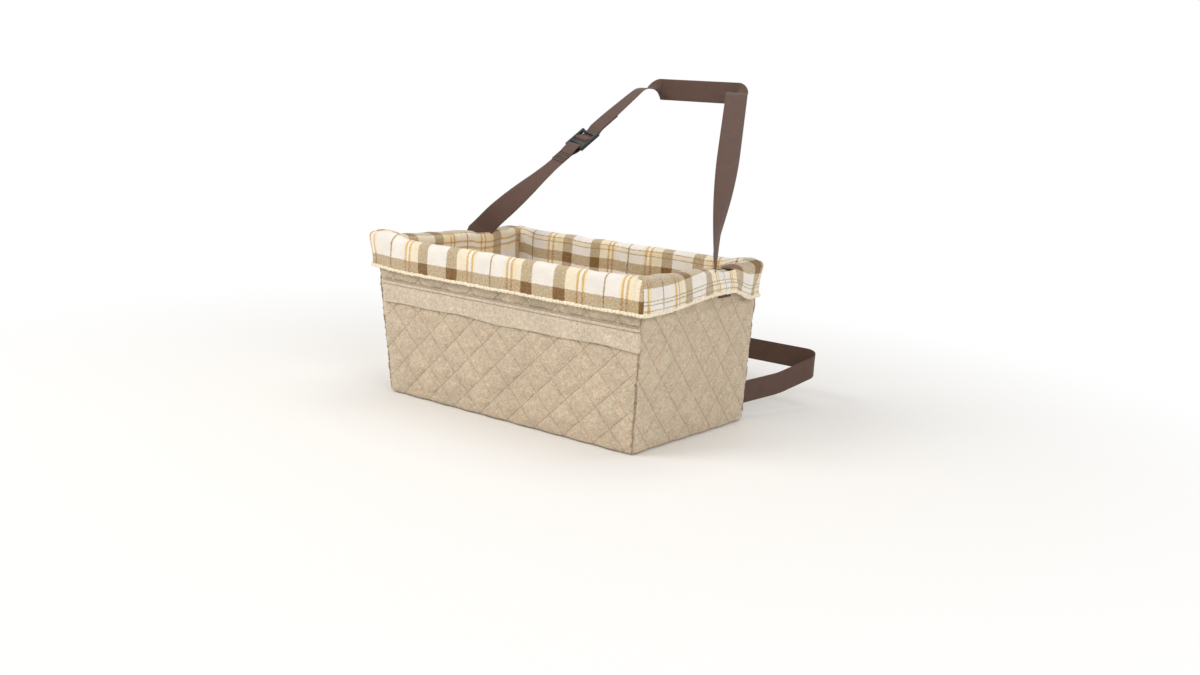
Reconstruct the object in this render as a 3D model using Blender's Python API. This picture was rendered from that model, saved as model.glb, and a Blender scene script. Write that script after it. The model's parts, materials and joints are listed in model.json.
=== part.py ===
"""Dog car seat: a quilted booster box that hangs from a headrest.

The box is 508 mm wide, 356 mm deep and 262 mm tall. A steel rim rod carries four padded walls.
A plush liner folds over the rim as a cuff, two straps climb from the side walls to a loop that
goes round the headrest posts, and a second strap goes round the seat back.

Lengths are in metres and +Z is up. The pieces are modelled in the box's own frame: its origin is
in the middle of the underside and the front faces -Y. One empty moves that frame, so that the
world origin is the middle of the headrest loop.
"""
import math

import bmesh
import bpy
from mathutils import Matrix, Vector

# Box, measured to the outside of the rolled rim
BOX_WIDTH = 0.508
BOX_DEPTH = 0.356
BOX_HEIGHT = 0.262
RIM_INSET = 0.0125
FRONT_LEAN = 0.028
SIDE_LEAN = 0.006
REAR_LEAN = 0.0

# Fits
FIT = 0.0003
MITRE_GAP = 0.00025
CUT_OVERRUN = 0.006

# Rim rod, in two halves joined by ferrules
ROD_RADIUS = 0.004
ROD_BEND = 0.010
ROD_END_RADIUS = 0.0026
FERRULE_LENGTH = 0.044
ROD_END_LENGTH = 0.0215

# Cloth casing that holds the rod
CASING_THICKNESS = 0.0006
CASING_TAIL = 0.020
CASING_END_INSET = 0.018

# Wall layers
PANEL_THICKNESS = 0.004
QUILT_DEPTH = 0.0018
QUILT_DIAGONAL = 0.059
BOARD_THICKNESS = 0.0057
LINER_THICKNESS = 0.0035

# Floor layers
BASE_PANEL_THICKNESS = 0.005
BASE_BOARD_THICKNESS = 0.006
CUSHION_CLEARANCE = 0.004
CUSHION_SIDE_HEIGHT = 0.034
CUSHION_CROWN = 0.016
CUSHION_CORNER = 0.035
CUSHION_LEAST_CORNER = 0.00875
CUSHION_CROWN_SHARE = 0.8
CUSHION_RINGS = 6
CUSHION_EDGE_ROLL = 0.008
CUSHION_DRAW_IN = 0.003

# Cuff of the liner, outside the rim
CUFF_DROP = 0.046
CUFF_FLARE = 0.0045
BINDING_HEIGHT = 0.006

# Webbing
WEB_WIDTH = 0.038
WEB_THICKNESS = 0.0014
BAR_HALF_WIDTH = 0.002
BAR_HALF_THICKNESS = 0.0015
BAR_REACH = 0.0026
LOOP_EASE = 0.012
LOOP_LEAD = 0.010
LOOP_TAIL = 0.022
EASE_RADIUS = 0.012

# Support straps, from the side walls to the headrest posts
STRAP_Y = 0.060
STRAP_SEWN_LENGTH = 0.046
STRAP_RISE = 0.021
STRAP_FOOT_RADIUS = 0.028
STRAP_SLOT_LENGTH = 0.047
STRAP_SLOT_INNER = 0.0045
STRAP_SLOT_FLOOR = 0.0015
POST_X = 0.075
POST_Y = 0.360
POST_RADIUS = 0.006
CROWN_HEIGHT = 0.530
CROWN_LEAD = 0.042
CROWN_RADIUS = 0.024
TWIST_FOOT_ANGLE = 50.0
TWIST_CROWN_ANGLE = 180.0
LEFT_TWIST_SHARES = ((0.06, 108.0), (0.33, 160.0), (0.42, 170.0), (0.80, 170.0))
RIGHT_TWIST_SHARES = ((0.04, 97.0), (0.33, 141.0), (0.58, 176.0), (0.74, 180.0))
TWIST_STEP = 0.014
FIRST_TWIST_STEPS = 1.5

# Slide adjuster on the left support strap
SLIDE_SHARE = 0.615
SLIDE_BAR_PITCH = 0.018
SLIDE_WIDTH = 0.050
SLIDE_WINDOW_WIDTH = 0.0425
SLIDE_THICKNESS = 0.0030
SLIDE_EDGE = 0.0006
SLIDE_TAIL = 0.052

# Strap round the seat back
SEAT_STRAP_HEIGHT = 0.036
SEAT_STRAP_SEWN_FROM = 0.150
SEAT_STRAP_SEWN_TO = 0.2245
SEAT_STRAP_CORNER_RADIUS = 0.009
SEAT_LOOP_HALF_WIDTH = 0.292
SEAT_LOOP_REACH = 0.380
SEAT_LOOP_HEIGHT = 0.075
SEAT_LOOP_RADIUS = 0.026
SEAT_SAG_SHARE = 0.5
SEAT_SAG = 0.0085
SEAT_SAG_RADIUS = 0.150

# Side-release buckle on the seat-back strap
BUCKLE_HEIGHT = 0.050
BUCKLE_THICKNESS = 0.013
BUCKLE_WALL = 0.002
SOCKET_LENGTH = 0.032
SOCKET_END_WALL = 0.003
SOCKET_BAR_GAP = 0.0075
WINDOW_START = 0.004
WINDOW_END = 0.0226
PLUG_BLOCK_LENGTH = 0.008
PLUG_BAR_GAP = 0.0075
TONGUE_LENGTH = 0.026
TONGUE_HALF_HEIGHT = 0.004
RAIL_WIDTH = 0.0040
ARM_PIVOT_X = -0.004
ARM_PIVOT_Z = 0.012
ARM_BOSS_RADIUS = 0.0034
ARM_SHOULDER_X = 0.0048
ARM_TIP_X = 0.0215
ARM_NECK_HEIGHT = 0.0180
ARM_TOP = 0.0246
ARM_TIP_HEIGHT = 0.0205
ARM_INNER_HEIGHT = 0.0165
ARM_ROOT_INNER = 0.009
ARM_CREST_END = 0.0170

# Front pocket
FLAP_TOP = 0.197
FLAP_HEIGHT = 0.036
FLAP_THICKNESS = 0.0018
FLAP_LEFT_INSET = 0.016
FLAP_RIGHT_INSET = 0.003
ZIP_CENTRE_DROP = 0.0195
ZIP_WINDOW_HALF_HEIGHT = 0.0075
ZIP_WINDOW_HALF_LENGTH = 0.214
POUCH_LEAF = 0.0004
POUCH_GAP = 0.0006
POUCH_DEPTH = 0.115
POUCH_OVERLAP = 0.010
ZIP_TAPE_THICKNESS = 0.0005
ZIP_TEETH_HALF_HEIGHT = 0.0022
ZIP_TEETH_THICKNESS = 0.0014
SLIDER_START = -0.200
SLIDER_HALF_LENGTH = 0.005
SLIDER_HALF_HEIGHT = 0.0035
SLIDER_THICKNESS = 0.001
PULL_AXIS_OFFSET = 0.0035
PULL_FORK_REACH = 0.001
PULL_BLADE_END = 0.025
PULL_HALF_HEIGHT = 0.0053

# Facets
ROD_SIDES = 12
BEND_STEP_DEGREES = 15.0
ARCH_STEPS = 10
CORNER_STEPS = 6

# Values that follow from those above
X_ROD = BOX_WIDTH / 2 - RIM_INSET
Y_ROD = BOX_DEPTH / 2 - RIM_INSET
CASING_RADIUS = ROD_RADIUS + FIT + CASING_THICKNESS / 2
CASING_OUTER = CASING_RADIUS + CASING_THICKNESS / 2
LEAF_OFFSET = FIT / 2 + CASING_THICKNESS / 2
PANEL_INNER = LEAF_OFFSET + CASING_THICKNESS / 2 + FIT
PANEL_OUTER = PANEL_INNER + PANEL_THICKNESS
STRAP_OFFSET = PANEL_OUTER + FIT + WEB_THICKNESS / 2
LINER_INNER = STRAP_OFFSET + WEB_THICKNESS / 2 + FIT
LINER_MIDDLE = LINER_INNER + LINER_THICKNESS / 2
LINER_OUTER = LINER_INNER + LINER_THICKNESS
BOARD_OUTER = -PANEL_INNER
BOARD_INNER = BOARD_OUTER - BOARD_THICKNESS
Z_ROD = BOX_HEIGHT - LINER_OUTER
WALL_TOP = Z_ROD - CASING_OUTER - FIT
WALL_FOOT = BASE_PANEL_THICKNESS + FIT
BASE_BOARD_TOP = WALL_FOOT + BASE_BOARD_THICKNESS
LINER_FOOT = BASE_BOARD_TOP + FIT
LINER_FLOOR_TOP = LINER_FOOT + LINER_THICKNESS
CUSHION_FOOT = LINER_FLOOR_TOP + FIT
LAP = WEB_THICKNESS + FIT
BAR_LOOP_RADIUS = BAR_REACH + FIT + WEB_THICKNESS / 2
POST_LOOP_RADIUS = POST_RADIUS + FIT + WEB_THICKNESS / 2
ZIP_CENTRE = FLAP_TOP - ZIP_CENTRE_DROP
FLAP_INNER = PANEL_OUTER + FIT
LEAF_FACE = POUCH_GAP / 2
ZIP_BACK = LEAF_FACE
SLIDER_BACK = ZIP_BACK + ZIP_TEETH_THICKNESS + FIT
BUCKLE_CAVITY_HALF = BUCKLE_THICKNESS / 2 - BUCKLE_WALL
TONGUE_HALF_THICKNESS = BUCKLE_CAVITY_HALF - FIT
SOCKET_BAR_X = SOCKET_LENGTH + SOCKET_END_WALL + SOCKET_BAR_GAP
PLUG_BLOCK_FRONT = ARM_PIVOT_X - ARM_BOSS_RADIUS - FIT
PLUG_BLOCK_REAR = PLUG_BLOCK_FRONT - PLUG_BLOCK_LENGTH
PLUG_BAR_X = PLUG_BLOCK_REAR - PLUG_BAR_GAP
LOOP_POINT = Vector((0.0, POST_Y + POST_LOOP_RADIUS, CROWN_HEIGHT))

X_AXIS = Vector((1.0, 0.0, 0.0))
Y_AXIS = Vector((0.0, 1.0, 0.0))
Z_AXIS = Vector((0.0, 0.0, 1.0))


class Wall:
    """One side of the box: its outward normal, its rod distance, its lean and its two ends."""

    def __init__(self, normal, along, reach, lean, low_end, high_end):
        self.normal = normal
        self.along = along
        self.reach = reach
        self.lean = lean
        self.low_end = low_end
        self.high_end = high_end

    def point(self, s, u, z):
        """Point at s along the wall, u outward of the rod's centre line and height z."""
        reach = self.reach - self.lean * (1 - z / Z_ROD) + u
        return self.normal * reach + self.along * s + Z_AXIS * z

    def end(self, side, u, z):
        """Mitred end of a layer at offset u and height z, on the low (-1) or high (+1) side."""
        reach, lean = self.high_end if side > 0 else self.low_end
        return side * (reach - lean * (1 - z / Z_ROD) + u - MITRE_GAP)


FRONT_END = (Y_ROD, FRONT_LEAN)
REAR_END = (Y_ROD, REAR_LEAN)
SIDE_END = (X_ROD, SIDE_LEAN)
WALLS = {
    "front": Wall(-Y_AXIS, X_AXIS, Y_ROD, FRONT_LEAN, SIDE_END, SIDE_END),
    "rear": Wall(Y_AXIS, X_AXIS, Y_ROD, REAR_LEAN, SIDE_END, SIDE_END),
    "left": Wall(-X_AXIS, Y_AXIS, X_ROD, SIDE_LEAN, FRONT_END, REAR_END),
    "right": Wall(X_AXIS, Y_AXIS, X_ROD, SIDE_LEAN, FRONT_END, REAR_END),
}


def clear_scene():
    for item in list(bpy.data.objects):
        bpy.data.objects.remove(item, do_unlink=True)


def material(name, colour, roughness, metallic=0.0):
    """Principled material with a linear colour, made once."""
    made = bpy.data.materials.get(name)
    if made:
        return made
    made = bpy.data.materials.new(name)
    made.use_nodes = True
    shader = made.node_tree.nodes["Principled BSDF"]
    shader.inputs["Base Color"].default_value = (*colour, 1.0)
    shader.inputs["Roughness"].default_value = roughness
    shader.inputs["Metallic"].default_value = metallic
    return made


def suede():
    return material("beige_suede", (0.52, 0.42, 0.30), 0.9)


def pocket_suede():
    return material("grey_beige_suede", (0.54, 0.45, 0.34), 0.85)


def fleece():
    return material("plaid_fleece", (0.82, 0.74, 0.60), 0.95)


def binding_cloth():
    return material("cream_binding", (0.86, 0.79, 0.66), 0.9)


def lining_cloth():
    return material("tan_lining_cloth", (0.40, 0.33, 0.25), 0.9)


def foam():
    return material("white_foam_board", (0.80, 0.80, 0.76), 0.9)


def webbing():
    return material("brown_webbing", (0.085, 0.055, 0.038), 0.8)


def steel():
    return material("bare_steel", (0.55, 0.55, 0.56), 0.35, 1.0)


def black_plastic():
    return material("black_acetal", (0.012, 0.012, 0.012), 0.45)


def zip_metal():
    return material("dark_zinc", (0.18, 0.16, 0.14), 0.4, 1.0)


def make_object(name, mesh_maker, finish, parent, origin=None, smooth_angle=0.6):
    """Object from a function that fills a bmesh in the box's frame, with its own origin."""
    origin = origin or Vector((0.0, 0.0, 0.0))
    body = bmesh.new()
    mesh_maker(body)
    bmesh.ops.translate(body, verts=body.verts, vec=-origin)
    bmesh.ops.recalc_face_normals(body, faces=body.faces)
    mesh = bpy.data.meshes.new(name)
    body.to_mesh(mesh)
    body.free()
    mesh.shade_smooth()
    mesh.set_sharp_from_angle(angle=smooth_angle)
    if finish:
        mesh.materials.append(finish)
    made = bpy.data.objects.new(name, mesh)
    bpy.context.scene.collection.objects.link(made)
    made.parent = parent
    made.location = origin
    return made


def boolean(target, tool, operation):
    """Boolean modifier whose tool is hidden and left out of the model."""
    tool.hide_render = True
    tool.display_type = "WIRE"
    step = target.modifiers.new(operation.lower(), "BOOLEAN")
    step.operation = operation
    step.solver = "EXACT"
    step.object = tool


def bevel(target, width):
    step = target.modifiers.new("bevel", "BEVEL")
    step.width = width
    step.segments = 2
    step.limit_method = "ANGLE"


def add_loft(body, low, high, strip=True):
    """Closed body between two rings that match one to one, whose ends are capped as a strip."""
    low_verts = [body.verts.new(point) for point in low]
    high_verts = [body.verts.new(point) for point in high]
    count = len(low)
    for i in range(count):
        j = (i + 1) % count
        body.faces.new((low_verts[i], low_verts[j], high_verts[j], high_verts[i]))
    for ring in (low_verts, high_verts):
        if strip:
            for i in range(count // 2 - 1):
                body.faces.new((ring[i], ring[i + 1], ring[count - 2 - i], ring[count - 1 - i]))
        else:
            cap = body.faces.new(ring)
            bmesh.ops.triangulate(body, faces=[cap], ngon_method="EAR_CLIP")


def add_box(body, low, high, frame=None):
    """Box between two corners, in an optional frame."""
    frame = frame or Matrix.Identity(4)
    xs = (low[0], high[0])
    ys = (low[1], high[1])
    rings = []
    for z in (low[2], high[2]):
        corners = ((xs[0], ys[0]), (xs[1], ys[0]), (xs[1], ys[1]), (xs[0], ys[1]))
        rings.append([frame @ Vector((x, y, z)) for x, y in corners])
    add_loft(body, rings[0], rings[1])


def add_rings(body, rings, closed=False, split=False):
    """Skin over a row of rings, capped at both ends unless the row is closed.

    With split, quads become triangles, and opposite walls share the slope of their diagonals,
    so that a thin twisted strip keeps its thickness.
    """
    rows = [[body.verts.new(point) for point in ring] for ring in rings]
    count = len(rows[0])
    pairs = list(zip(rows, rows[1:]))
    if closed:
        pairs.append((rows[-1], rows[0]))
    for first, second in pairs:
        for i in range(count):
            j = (i + 1) % count
            if split and i < count // 2:
                body.faces.new((first[i], first[j], second[j]))
                body.faces.new((first[i], second[j], second[i]))
            elif split:
                body.faces.new((first[i], first[j], second[i]))
                body.faces.new((first[j], second[j], second[i]))
            else:
                body.faces.new((first[i], first[j], second[j], second[i]))
    if not closed:
        body.faces.new(rows[0][::-1])
        body.faces.new(rows[-1])


def arc_points(centre, radius, start, stop, steps):
    """Points of an arc in the plane, with angles in degrees."""
    points = []
    for i in range(steps + 1):
        angle = math.radians(start + (stop - start) * i / steps)
        points.append((centre[0] + radius * math.cos(angle), centre[1] + radius * math.sin(angle)))
    return points


def strip_outline(path, thickness):
    """Outline of a plane path that is given a thickness, with mitred corners."""
    left, right = [], []
    points = [Vector(point) for point in path]
    for i, point in enumerate(points):
        before = (point - points[i - 1]).normalized() if i else None
        after = (points[i + 1] - point).normalized() if i + 1 < len(points) else None
        first = before or after
        second = after or before
        across = Vector((-first.y, first.x)) + Vector((-second.y, second.x))
        across.normalize()
        reach = thickness / 2 / across.dot(Vector((-second.y, second.x)))
        left.append(point + across * reach)
        right.append(point - across * reach)
    return left + right[::-1]


def add_wall_sweep(body, wall, outline, ends=None):
    """Outline of (u, z) points swept along a wall, mitred at the corners or cut at two places."""
    low, high = [], []
    for u, z in outline:
        start = ends[0] if ends else wall.end(-1, u, z)
        stop = ends[1] if ends else wall.end(1, u, z)
        low.append(wall.point(start, u, z))
        high.append(wall.point(stop, u, z))
    add_loft(body, low, high)


def slab_outline(inner, outer, foot, top):
    return ((inner, foot), (outer, foot), (outer, top), (inner, top))


def floor_ring(u, z):
    """Corners of the box's plan at height z, moved outward by u."""
    corners = []
    for name, side in (("front", -1), ("front", 1), ("rear", 1), ("rear", -1)):
        wall = WALLS[name]
        s = side * (X_ROD - SIDE_LEAN * (1 - z / Z_ROD) + u)
        corners.append(wall.point(s, u, z))
    return corners


def add_floor(body, u, foot, top):
    add_loft(body, floor_ring(u, foot), floor_ring(u, top))


def rim_rod_path(side):
    """Centre line of one half of the rim, from the front middle round to the rear middle."""
    x = side * X_ROD
    corners = ((-Y_ROD, -1), (Y_ROD, 1))
    points = [Vector((0.0, -Y_ROD, Z_ROD))]
    for y, end in corners:
        centre = Vector((x - side * ROD_BEND, y - end * ROD_BEND, Z_ROD))
        for i in range(CORNER_STEPS + 1):
            turn = math.radians(90.0 * i / CORNER_STEPS)
            if end > 0:
                turn = math.pi / 2 - turn
            offset = Vector((side * math.sin(turn), end * math.cos(turn), 0.0))
            points.append(centre + offset * ROD_BEND)
    points.append(Vector((0.0, Y_ROD, Z_ROD)))
    return points


def ring_round(centre, along, radius, sides):
    """Ring of points round a horizontal line."""
    across = Z_AXIS.cross(along).normalized()
    ring = []
    for i in range(sides):
        angle = 2 * math.pi * i / sides
        ring.append(centre + across * radius * math.cos(angle) + Z_AXIS * radius * math.sin(angle))
    return ring


def rim_frame(side, name, parent):
    """Bent steel rod, turned down at both ends to enter the ferrules."""

    def fill(body):
        path = rim_rod_path(side)
        inward = FERRULE_LENGTH / 2 + FIT
        rings = []
        start = Vector((side * (inward - ROD_END_LENGTH), -Y_ROD, Z_ROD))
        shoulder = Vector((side * inward, -Y_ROD, Z_ROD))
        rings.append(ring_round(start, X_AXIS * side, ROD_END_RADIUS, ROD_SIDES))
        rings.append(ring_round(shoulder, X_AXIS * side, ROD_END_RADIUS, ROD_SIDES))
        rings.append(ring_round(shoulder, X_AXIS * side, ROD_RADIUS, ROD_SIDES))
        for i in range(1, len(path) - 1):
            along = (path[i + 1] - path[i]).normalized() + (path[i] - path[i - 1]).normalized()
            rings.append(ring_round(path[i], along, ROD_RADIUS, ROD_SIDES))
        shoulder = Vector((side * inward, Y_ROD, Z_ROD))
        stop = Vector((side * (inward - ROD_END_LENGTH), Y_ROD, Z_ROD))
        rings.append(ring_round(shoulder, -X_AXIS * side, ROD_RADIUS, ROD_SIDES))
        rings.append(ring_round(shoulder, -X_AXIS * side, ROD_END_RADIUS, ROD_SIDES))
        rings.append(ring_round(stop, -X_AXIS * side, ROD_END_RADIUS, ROD_SIDES))
        add_rings(body, rings)

    return make_object(name, fill, steel(), parent)


def rim_ferrule(y, name, parent):
    """Steel tube that joins the two rod halves."""

    def fill(body):
        half = FERRULE_LENGTH / 2
        ends = (Vector((-half, y, Z_ROD)), Vector((half, y, Z_ROD)))
        bore = ROD_END_RADIUS + FIT
        rings = [ring_round(ends[0], X_AXIS, ROD_RADIUS, ROD_SIDES)]
        rings.append(ring_round(ends[1], X_AXIS, ROD_RADIUS, ROD_SIDES))
        rings.append(ring_round(ends[1], X_AXIS, bore, ROD_SIDES))
        rings.append(ring_round(ends[0], X_AXIS, bore, ROD_SIDES))
        add_rings(body, rings, closed=True)

    return make_object(name, fill, steel(), parent)


def rim_casing(side_name, parent):
    """Cloth tube round the rod, whose two leaves hang down between panel and board."""

    def fill(body):
        wall = WALLS[side_name]
        open_angle = math.degrees(math.asin(LEAF_OFFSET / CASING_RADIUS))
        tail = Z_ROD - CASING_TAIL
        path = [(LEAF_OFFSET, tail)]
        path += arc_points((0.0, Z_ROD), CASING_RADIUS, open_angle - 90, 270 - open_angle, 2 * ARCH_STEPS)
        path.append((-LEAF_OFFSET, tail))
        outline = strip_outline(path, CASING_THICKNESS)
        half = wall.high_end[0] - CASING_END_INSET
        add_wall_sweep(body, wall, outline, (-half, half))

    return make_object("rim_casing_" + side_name, fill, lining_cloth(), parent)


def add_quilted_block(body, wall, length, foot, top):
    """Block whose outer face is a lattice of low pyramids, larger than the panel all round."""
    half = QUILT_DIAGONAL / 2
    back = PANEL_INNER - CUT_OVERRUN
    seam = PANEL_OUTER - QUILT_DEPTH
    columns = math.ceil(length / half) + 2
    rows = math.ceil((top - foot) / half) + 2
    found = {}

    def corner(i, j, u):
        key = (i, j, u)
        if key not in found:
            found[key] = body.verts.new(wall.point(i * half, u, foot + j * half))
        return found[key]

    outer_faces = []
    for i in range(-columns, columns + 1):
        for j in range(-1, rows + 1):
            if (i + j) % 2:
                continue
            ring = ((i - 1, j), (i, j - 1), (i + 1, j), (i, j + 1))
            outer_faces.append(ring)
            for k in range(4):
                first, second = ring[k], ring[(k + 1) % 4]
                body.faces.new((corner(*first, seam), corner(*second, seam), corner(i, j, PANEL_OUTER)))
            body.faces.new([corner(*place, back) for place in ring])
    edges = {}
    for ring in outer_faces:
        for k in range(4):
            pair = frozenset((ring[k], ring[(k + 1) % 4]))
            edges[pair] = edges.get(pair, 0) + 1
    for pair, count in edges.items():
        if count == 1:
            first, second = sorted(pair)
            face = (corner(*first, seam), corner(*second, seam), corner(*second, back), corner(*first, back))
            body.faces.new(face)


def quilted_panel(side_name, parent):
    """Padded outer wall, quilted in diamonds, with mitred ends."""
    wall = WALLS[side_name]

    def block(body):
        add_quilted_block(body, wall, wall.high_end[0], WALL_FOOT, WALL_TOP)

    def limits(body):
        outline = slab_outline(PANEL_INNER, PANEL_OUTER + CUT_OVERRUN, WALL_FOOT, WALL_TOP)
        add_wall_sweep(body, wall, outline)

    panel = make_object("quilted_panel_" + side_name, block, suede(), parent)
    tool = make_object("limits_" + side_name, limits, None, parent)
    boolean(panel, tool, "INTERSECT")
    return panel


def zip_window(panel, parent):
    """Slit through the front panel, behind the pocket's flap."""

    def fill(body):
        wall = WALLS["front"]
        foot = ZIP_CENTRE - ZIP_WINDOW_HALF_HEIGHT
        top = ZIP_CENTRE + ZIP_WINDOW_HALF_HEIGHT
        outline = slab_outline(PANEL_INNER - CUT_OVERRUN, PANEL_OUTER + CUT_OVERRUN, foot, top)
        add_wall_sweep(body, wall, outline, (-ZIP_WINDOW_HALF_LENGTH, ZIP_WINDOW_HALF_LENGTH))

    boolean(panel, make_object("zip_window", fill, None, parent), "DIFFERENCE")


def wall_board(side_name, parent):
    """Foam board that stiffens a wall."""

    def fill(body):
        outline = slab_outline(BOARD_INNER, BOARD_OUTER, WALL_FOOT, WALL_TOP)
        add_wall_sweep(body, WALLS[side_name], outline)

    return make_object("wall_board_" + side_name, fill, foam(), parent)


def liner_path():
    """Middle of the liner from the floor, up the inside, over the rim and down to the cuff's hem."""
    path = [(-LINER_MIDDLE, LINER_FOOT)]
    path += arc_points((0.0, Z_ROD), LINER_MIDDLE, 180, 0, ARCH_STEPS)
    path.append((LINER_MIDDLE + CUFF_FLARE, BOX_HEIGHT - CUFF_DROP))
    return path


def liner_side(side_name, parent):
    def fill(body):
        add_wall_sweep(body, WALLS[side_name], strip_outline(liner_path(), LINER_THICKNESS))

    return make_object("liner_" + side_name, fill, fleece(), parent)


def strap_slot(liner, side_name, parent):
    """Slot in the top of the cuff, where a support strap comes out."""

    def fill(body):
        wall = WALLS[side_name]
        foot = Z_ROD + STRAP_SLOT_FLOOR
        top = BOX_HEIGHT + CUT_OVERRUN
        outline = slab_outline(-STRAP_SLOT_INNER, LINER_INNER, foot, top)
        half = STRAP_SLOT_LENGTH / 2
        add_wall_sweep(body, wall, outline, (STRAP_Y - half, STRAP_Y + half))

    boolean(liner, make_object("slot_" + side_name, fill, None, parent), "DIFFERENCE")


def cuff_binding(side_name, parent):
    """Narrow cream hem that finishes the cuff's free edge."""

    def fill(body):
        path = [Vector(point) for point in liner_path()[-2:]]
        along = (path[1] - path[0]).normalized()
        start = path[1] + along * FIT
        stop = start + along * BINDING_HEIGHT
        add_wall_sweep(body, WALLS[side_name], strip_outline((start, stop), LINER_THICKNESS))

    return make_object("cuff_binding_" + side_name, fill, binding_cloth(), parent)


def base_panel(parent):
    def fill(body):
        add_floor(body, PANEL_OUTER, 0.0, BASE_PANEL_THICKNESS)

    return make_object("base_panel", fill, suede(), parent)


def base_board(parent):
    def fill(body):
        add_floor(body, BOARD_INNER - FIT, WALL_FOOT, BASE_BOARD_TOP)

    return make_object("base_board", fill, foam(), parent)


def liner_floor(parent):
    def fill(body):
        add_floor(body, -LINER_OUTER - FIT, LINER_FOOT, LINER_FLOOR_TOP)

    return make_object("liner_floor", fill, fleece(), parent)


def rounded_plan(corners, inset, radius, z):
    """Rounded outline inside four corners, moved in by an inset."""
    low = corners[0] + Vector((inset, inset, 0.0))
    high = corners[2] - Vector((inset, inset, 0.0))
    centres = (
        (high.x - radius, high.y - radius, 0),
        (low.x + radius, high.y - radius, 90),
        (low.x + radius, low.y + radius, 180),
        (high.x - radius, low.y + radius, 270),
    )
    ring = []
    for x, y, start in centres:
        for px, py in arc_points((x, y), radius, start, start + 90, CORNER_STEPS):
            ring.append(Vector((px, py, z)))
    return ring


def floor_cushion(parent):
    """Loose cushion with a crowned top, drawn-in sides and rolled edges."""
    origin = Vector((0.0, 0.0, CUSHION_FOOT))

    def fill(body):
        corners = floor_ring(-LINER_OUTER - CUSHION_CLEARANCE, CUSHION_FOOT)
        side = CUSHION_FOOT + CUSHION_SIDE_HEIGHT
        roll = CUSHION_EDGE_ROLL
        middle = CUSHION_FOOT + CUSHION_SIDE_HEIGHT / 2
        profile = [(roll, CUSHION_FOOT), (roll / 4, CUSHION_FOOT + roll / 2)]
        profile.append((CUSHION_DRAW_IN, middle))
        profile.append((roll / 4, side - roll / 2))
        profile.append((roll, side))
        reach = -corners[0].y
        for i in range(1, CUSHION_RINGS):
            share = i / CUSHION_RINGS
            height = CUSHION_CROWN * (1 - (1 - share) ** 2)
            profile.append((roll + (reach - roll) * share * CUSHION_CROWN_SHARE, side + height))
        rings = []
        for inset, z in profile:
            radius = max(CUSHION_CORNER - inset, CUSHION_LEAST_CORNER)
            rings.append(rounded_plan(corners, inset, radius, z))
        add_rings(body, rings)

    return make_object("floor_cushion", fill, fleece(), parent, origin)


def pocket_flap(parent):
    """Smooth band that covers the pocket's zip and lifts about its sewn top edge."""
    wall = WALLS["front"]
    origin = wall.point(0.0, FLAP_INNER, FLAP_TOP)

    def fill(body):
        outline = slab_outline(FLAP_INNER, FLAP_INNER + FLAP_THICKNESS, FLAP_TOP - FLAP_HEIGHT, FLAP_TOP)
        left = wall.end(-1, PANEL_OUTER, FLAP_TOP - FLAP_HEIGHT) + FLAP_LEFT_INSET
        right = wall.end(1, PANEL_OUTER, FLAP_TOP - FLAP_HEIGHT) - FLAP_RIGHT_INSET
        add_wall_sweep(body, wall, outline, (left, right))

    return make_object("pocket_flap", fill, pocket_suede(), parent, origin)


def pocket_pouch(parent):
    """Flat cloth pouch behind the front panel, open at the zip."""

    def fill(body):
        leaf = POUCH_GAP / 2 + POUCH_LEAF / 2
        foot = ZIP_CENTRE - POUCH_DEPTH
        path = [(leaf, ZIP_CENTRE - ZIP_WINDOW_HALF_HEIGHT), (leaf, foot), (-leaf, foot)]
        path.append((-leaf, ZIP_CENTRE + ZIP_WINDOW_HALF_HEIGHT + POUCH_OVERLAP))
        half = ZIP_WINDOW_HALF_LENGTH
        add_wall_sweep(body, WALLS["front"], strip_outline(path, POUCH_LEAF), (-half, half))

    return make_object("pocket_pouch", fill, lining_cloth(), parent)


def zip_tape(side, name, parent):
    """Cloth tape above (+1) or below (-1) the zip's teeth."""

    def fill(body):
        half = ZIP_WINDOW_HALF_LENGTH - FIT
        inner = ZIP_CENTRE + side * (ZIP_TEETH_HALF_HEIGHT + FIT)
        outer = ZIP_CENTRE + side * (ZIP_WINDOW_HALF_HEIGHT - FIT)
        foot, top = sorted((inner, outer))
        outline = slab_outline(ZIP_BACK, ZIP_BACK + ZIP_TAPE_THICKNESS, foot, top)
        add_wall_sweep(body, WALLS["front"], outline, (-half, half))

    return make_object(name, fill, lining_cloth(), parent)


def zip_teeth(parent):
    """Closed coil of the zip."""

    def fill(body):
        half = ZIP_WINDOW_HALF_LENGTH - FIT
        foot = ZIP_CENTRE - ZIP_TEETH_HALF_HEIGHT
        top = ZIP_CENTRE + ZIP_TEETH_HALF_HEIGHT
        outline = slab_outline(ZIP_BACK, ZIP_BACK + ZIP_TEETH_THICKNESS, foot, top)
        add_wall_sweep(body, WALLS["front"], outline, (-half, half))

    return make_object("zip_teeth", fill, black_plastic(), parent)


def add_zip_plate(body, start, stop, low, high):
    """Thin plate in front of the teeth, between two places along the zip and two heights."""
    outline = slab_outline(SLIDER_BACK, SLIDER_BACK + SLIDER_THICKNESS, ZIP_CENTRE + low, ZIP_CENTRE + high)
    add_wall_sweep(body, WALLS["front"], outline, (start, stop))


def zip_slider(parent):
    origin = WALLS["front"].point(SLIDER_START, SLIDER_BACK, ZIP_CENTRE)

    def fill(body):
        start = SLIDER_START - SLIDER_HALF_LENGTH
        stop = SLIDER_START + SLIDER_HALF_LENGTH
        add_zip_plate(body, start, stop, -SLIDER_HALF_HEIGHT, SLIDER_HALF_HEIGHT)

    return make_object("zip_slider", fill, zip_metal(), parent, origin)


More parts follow.
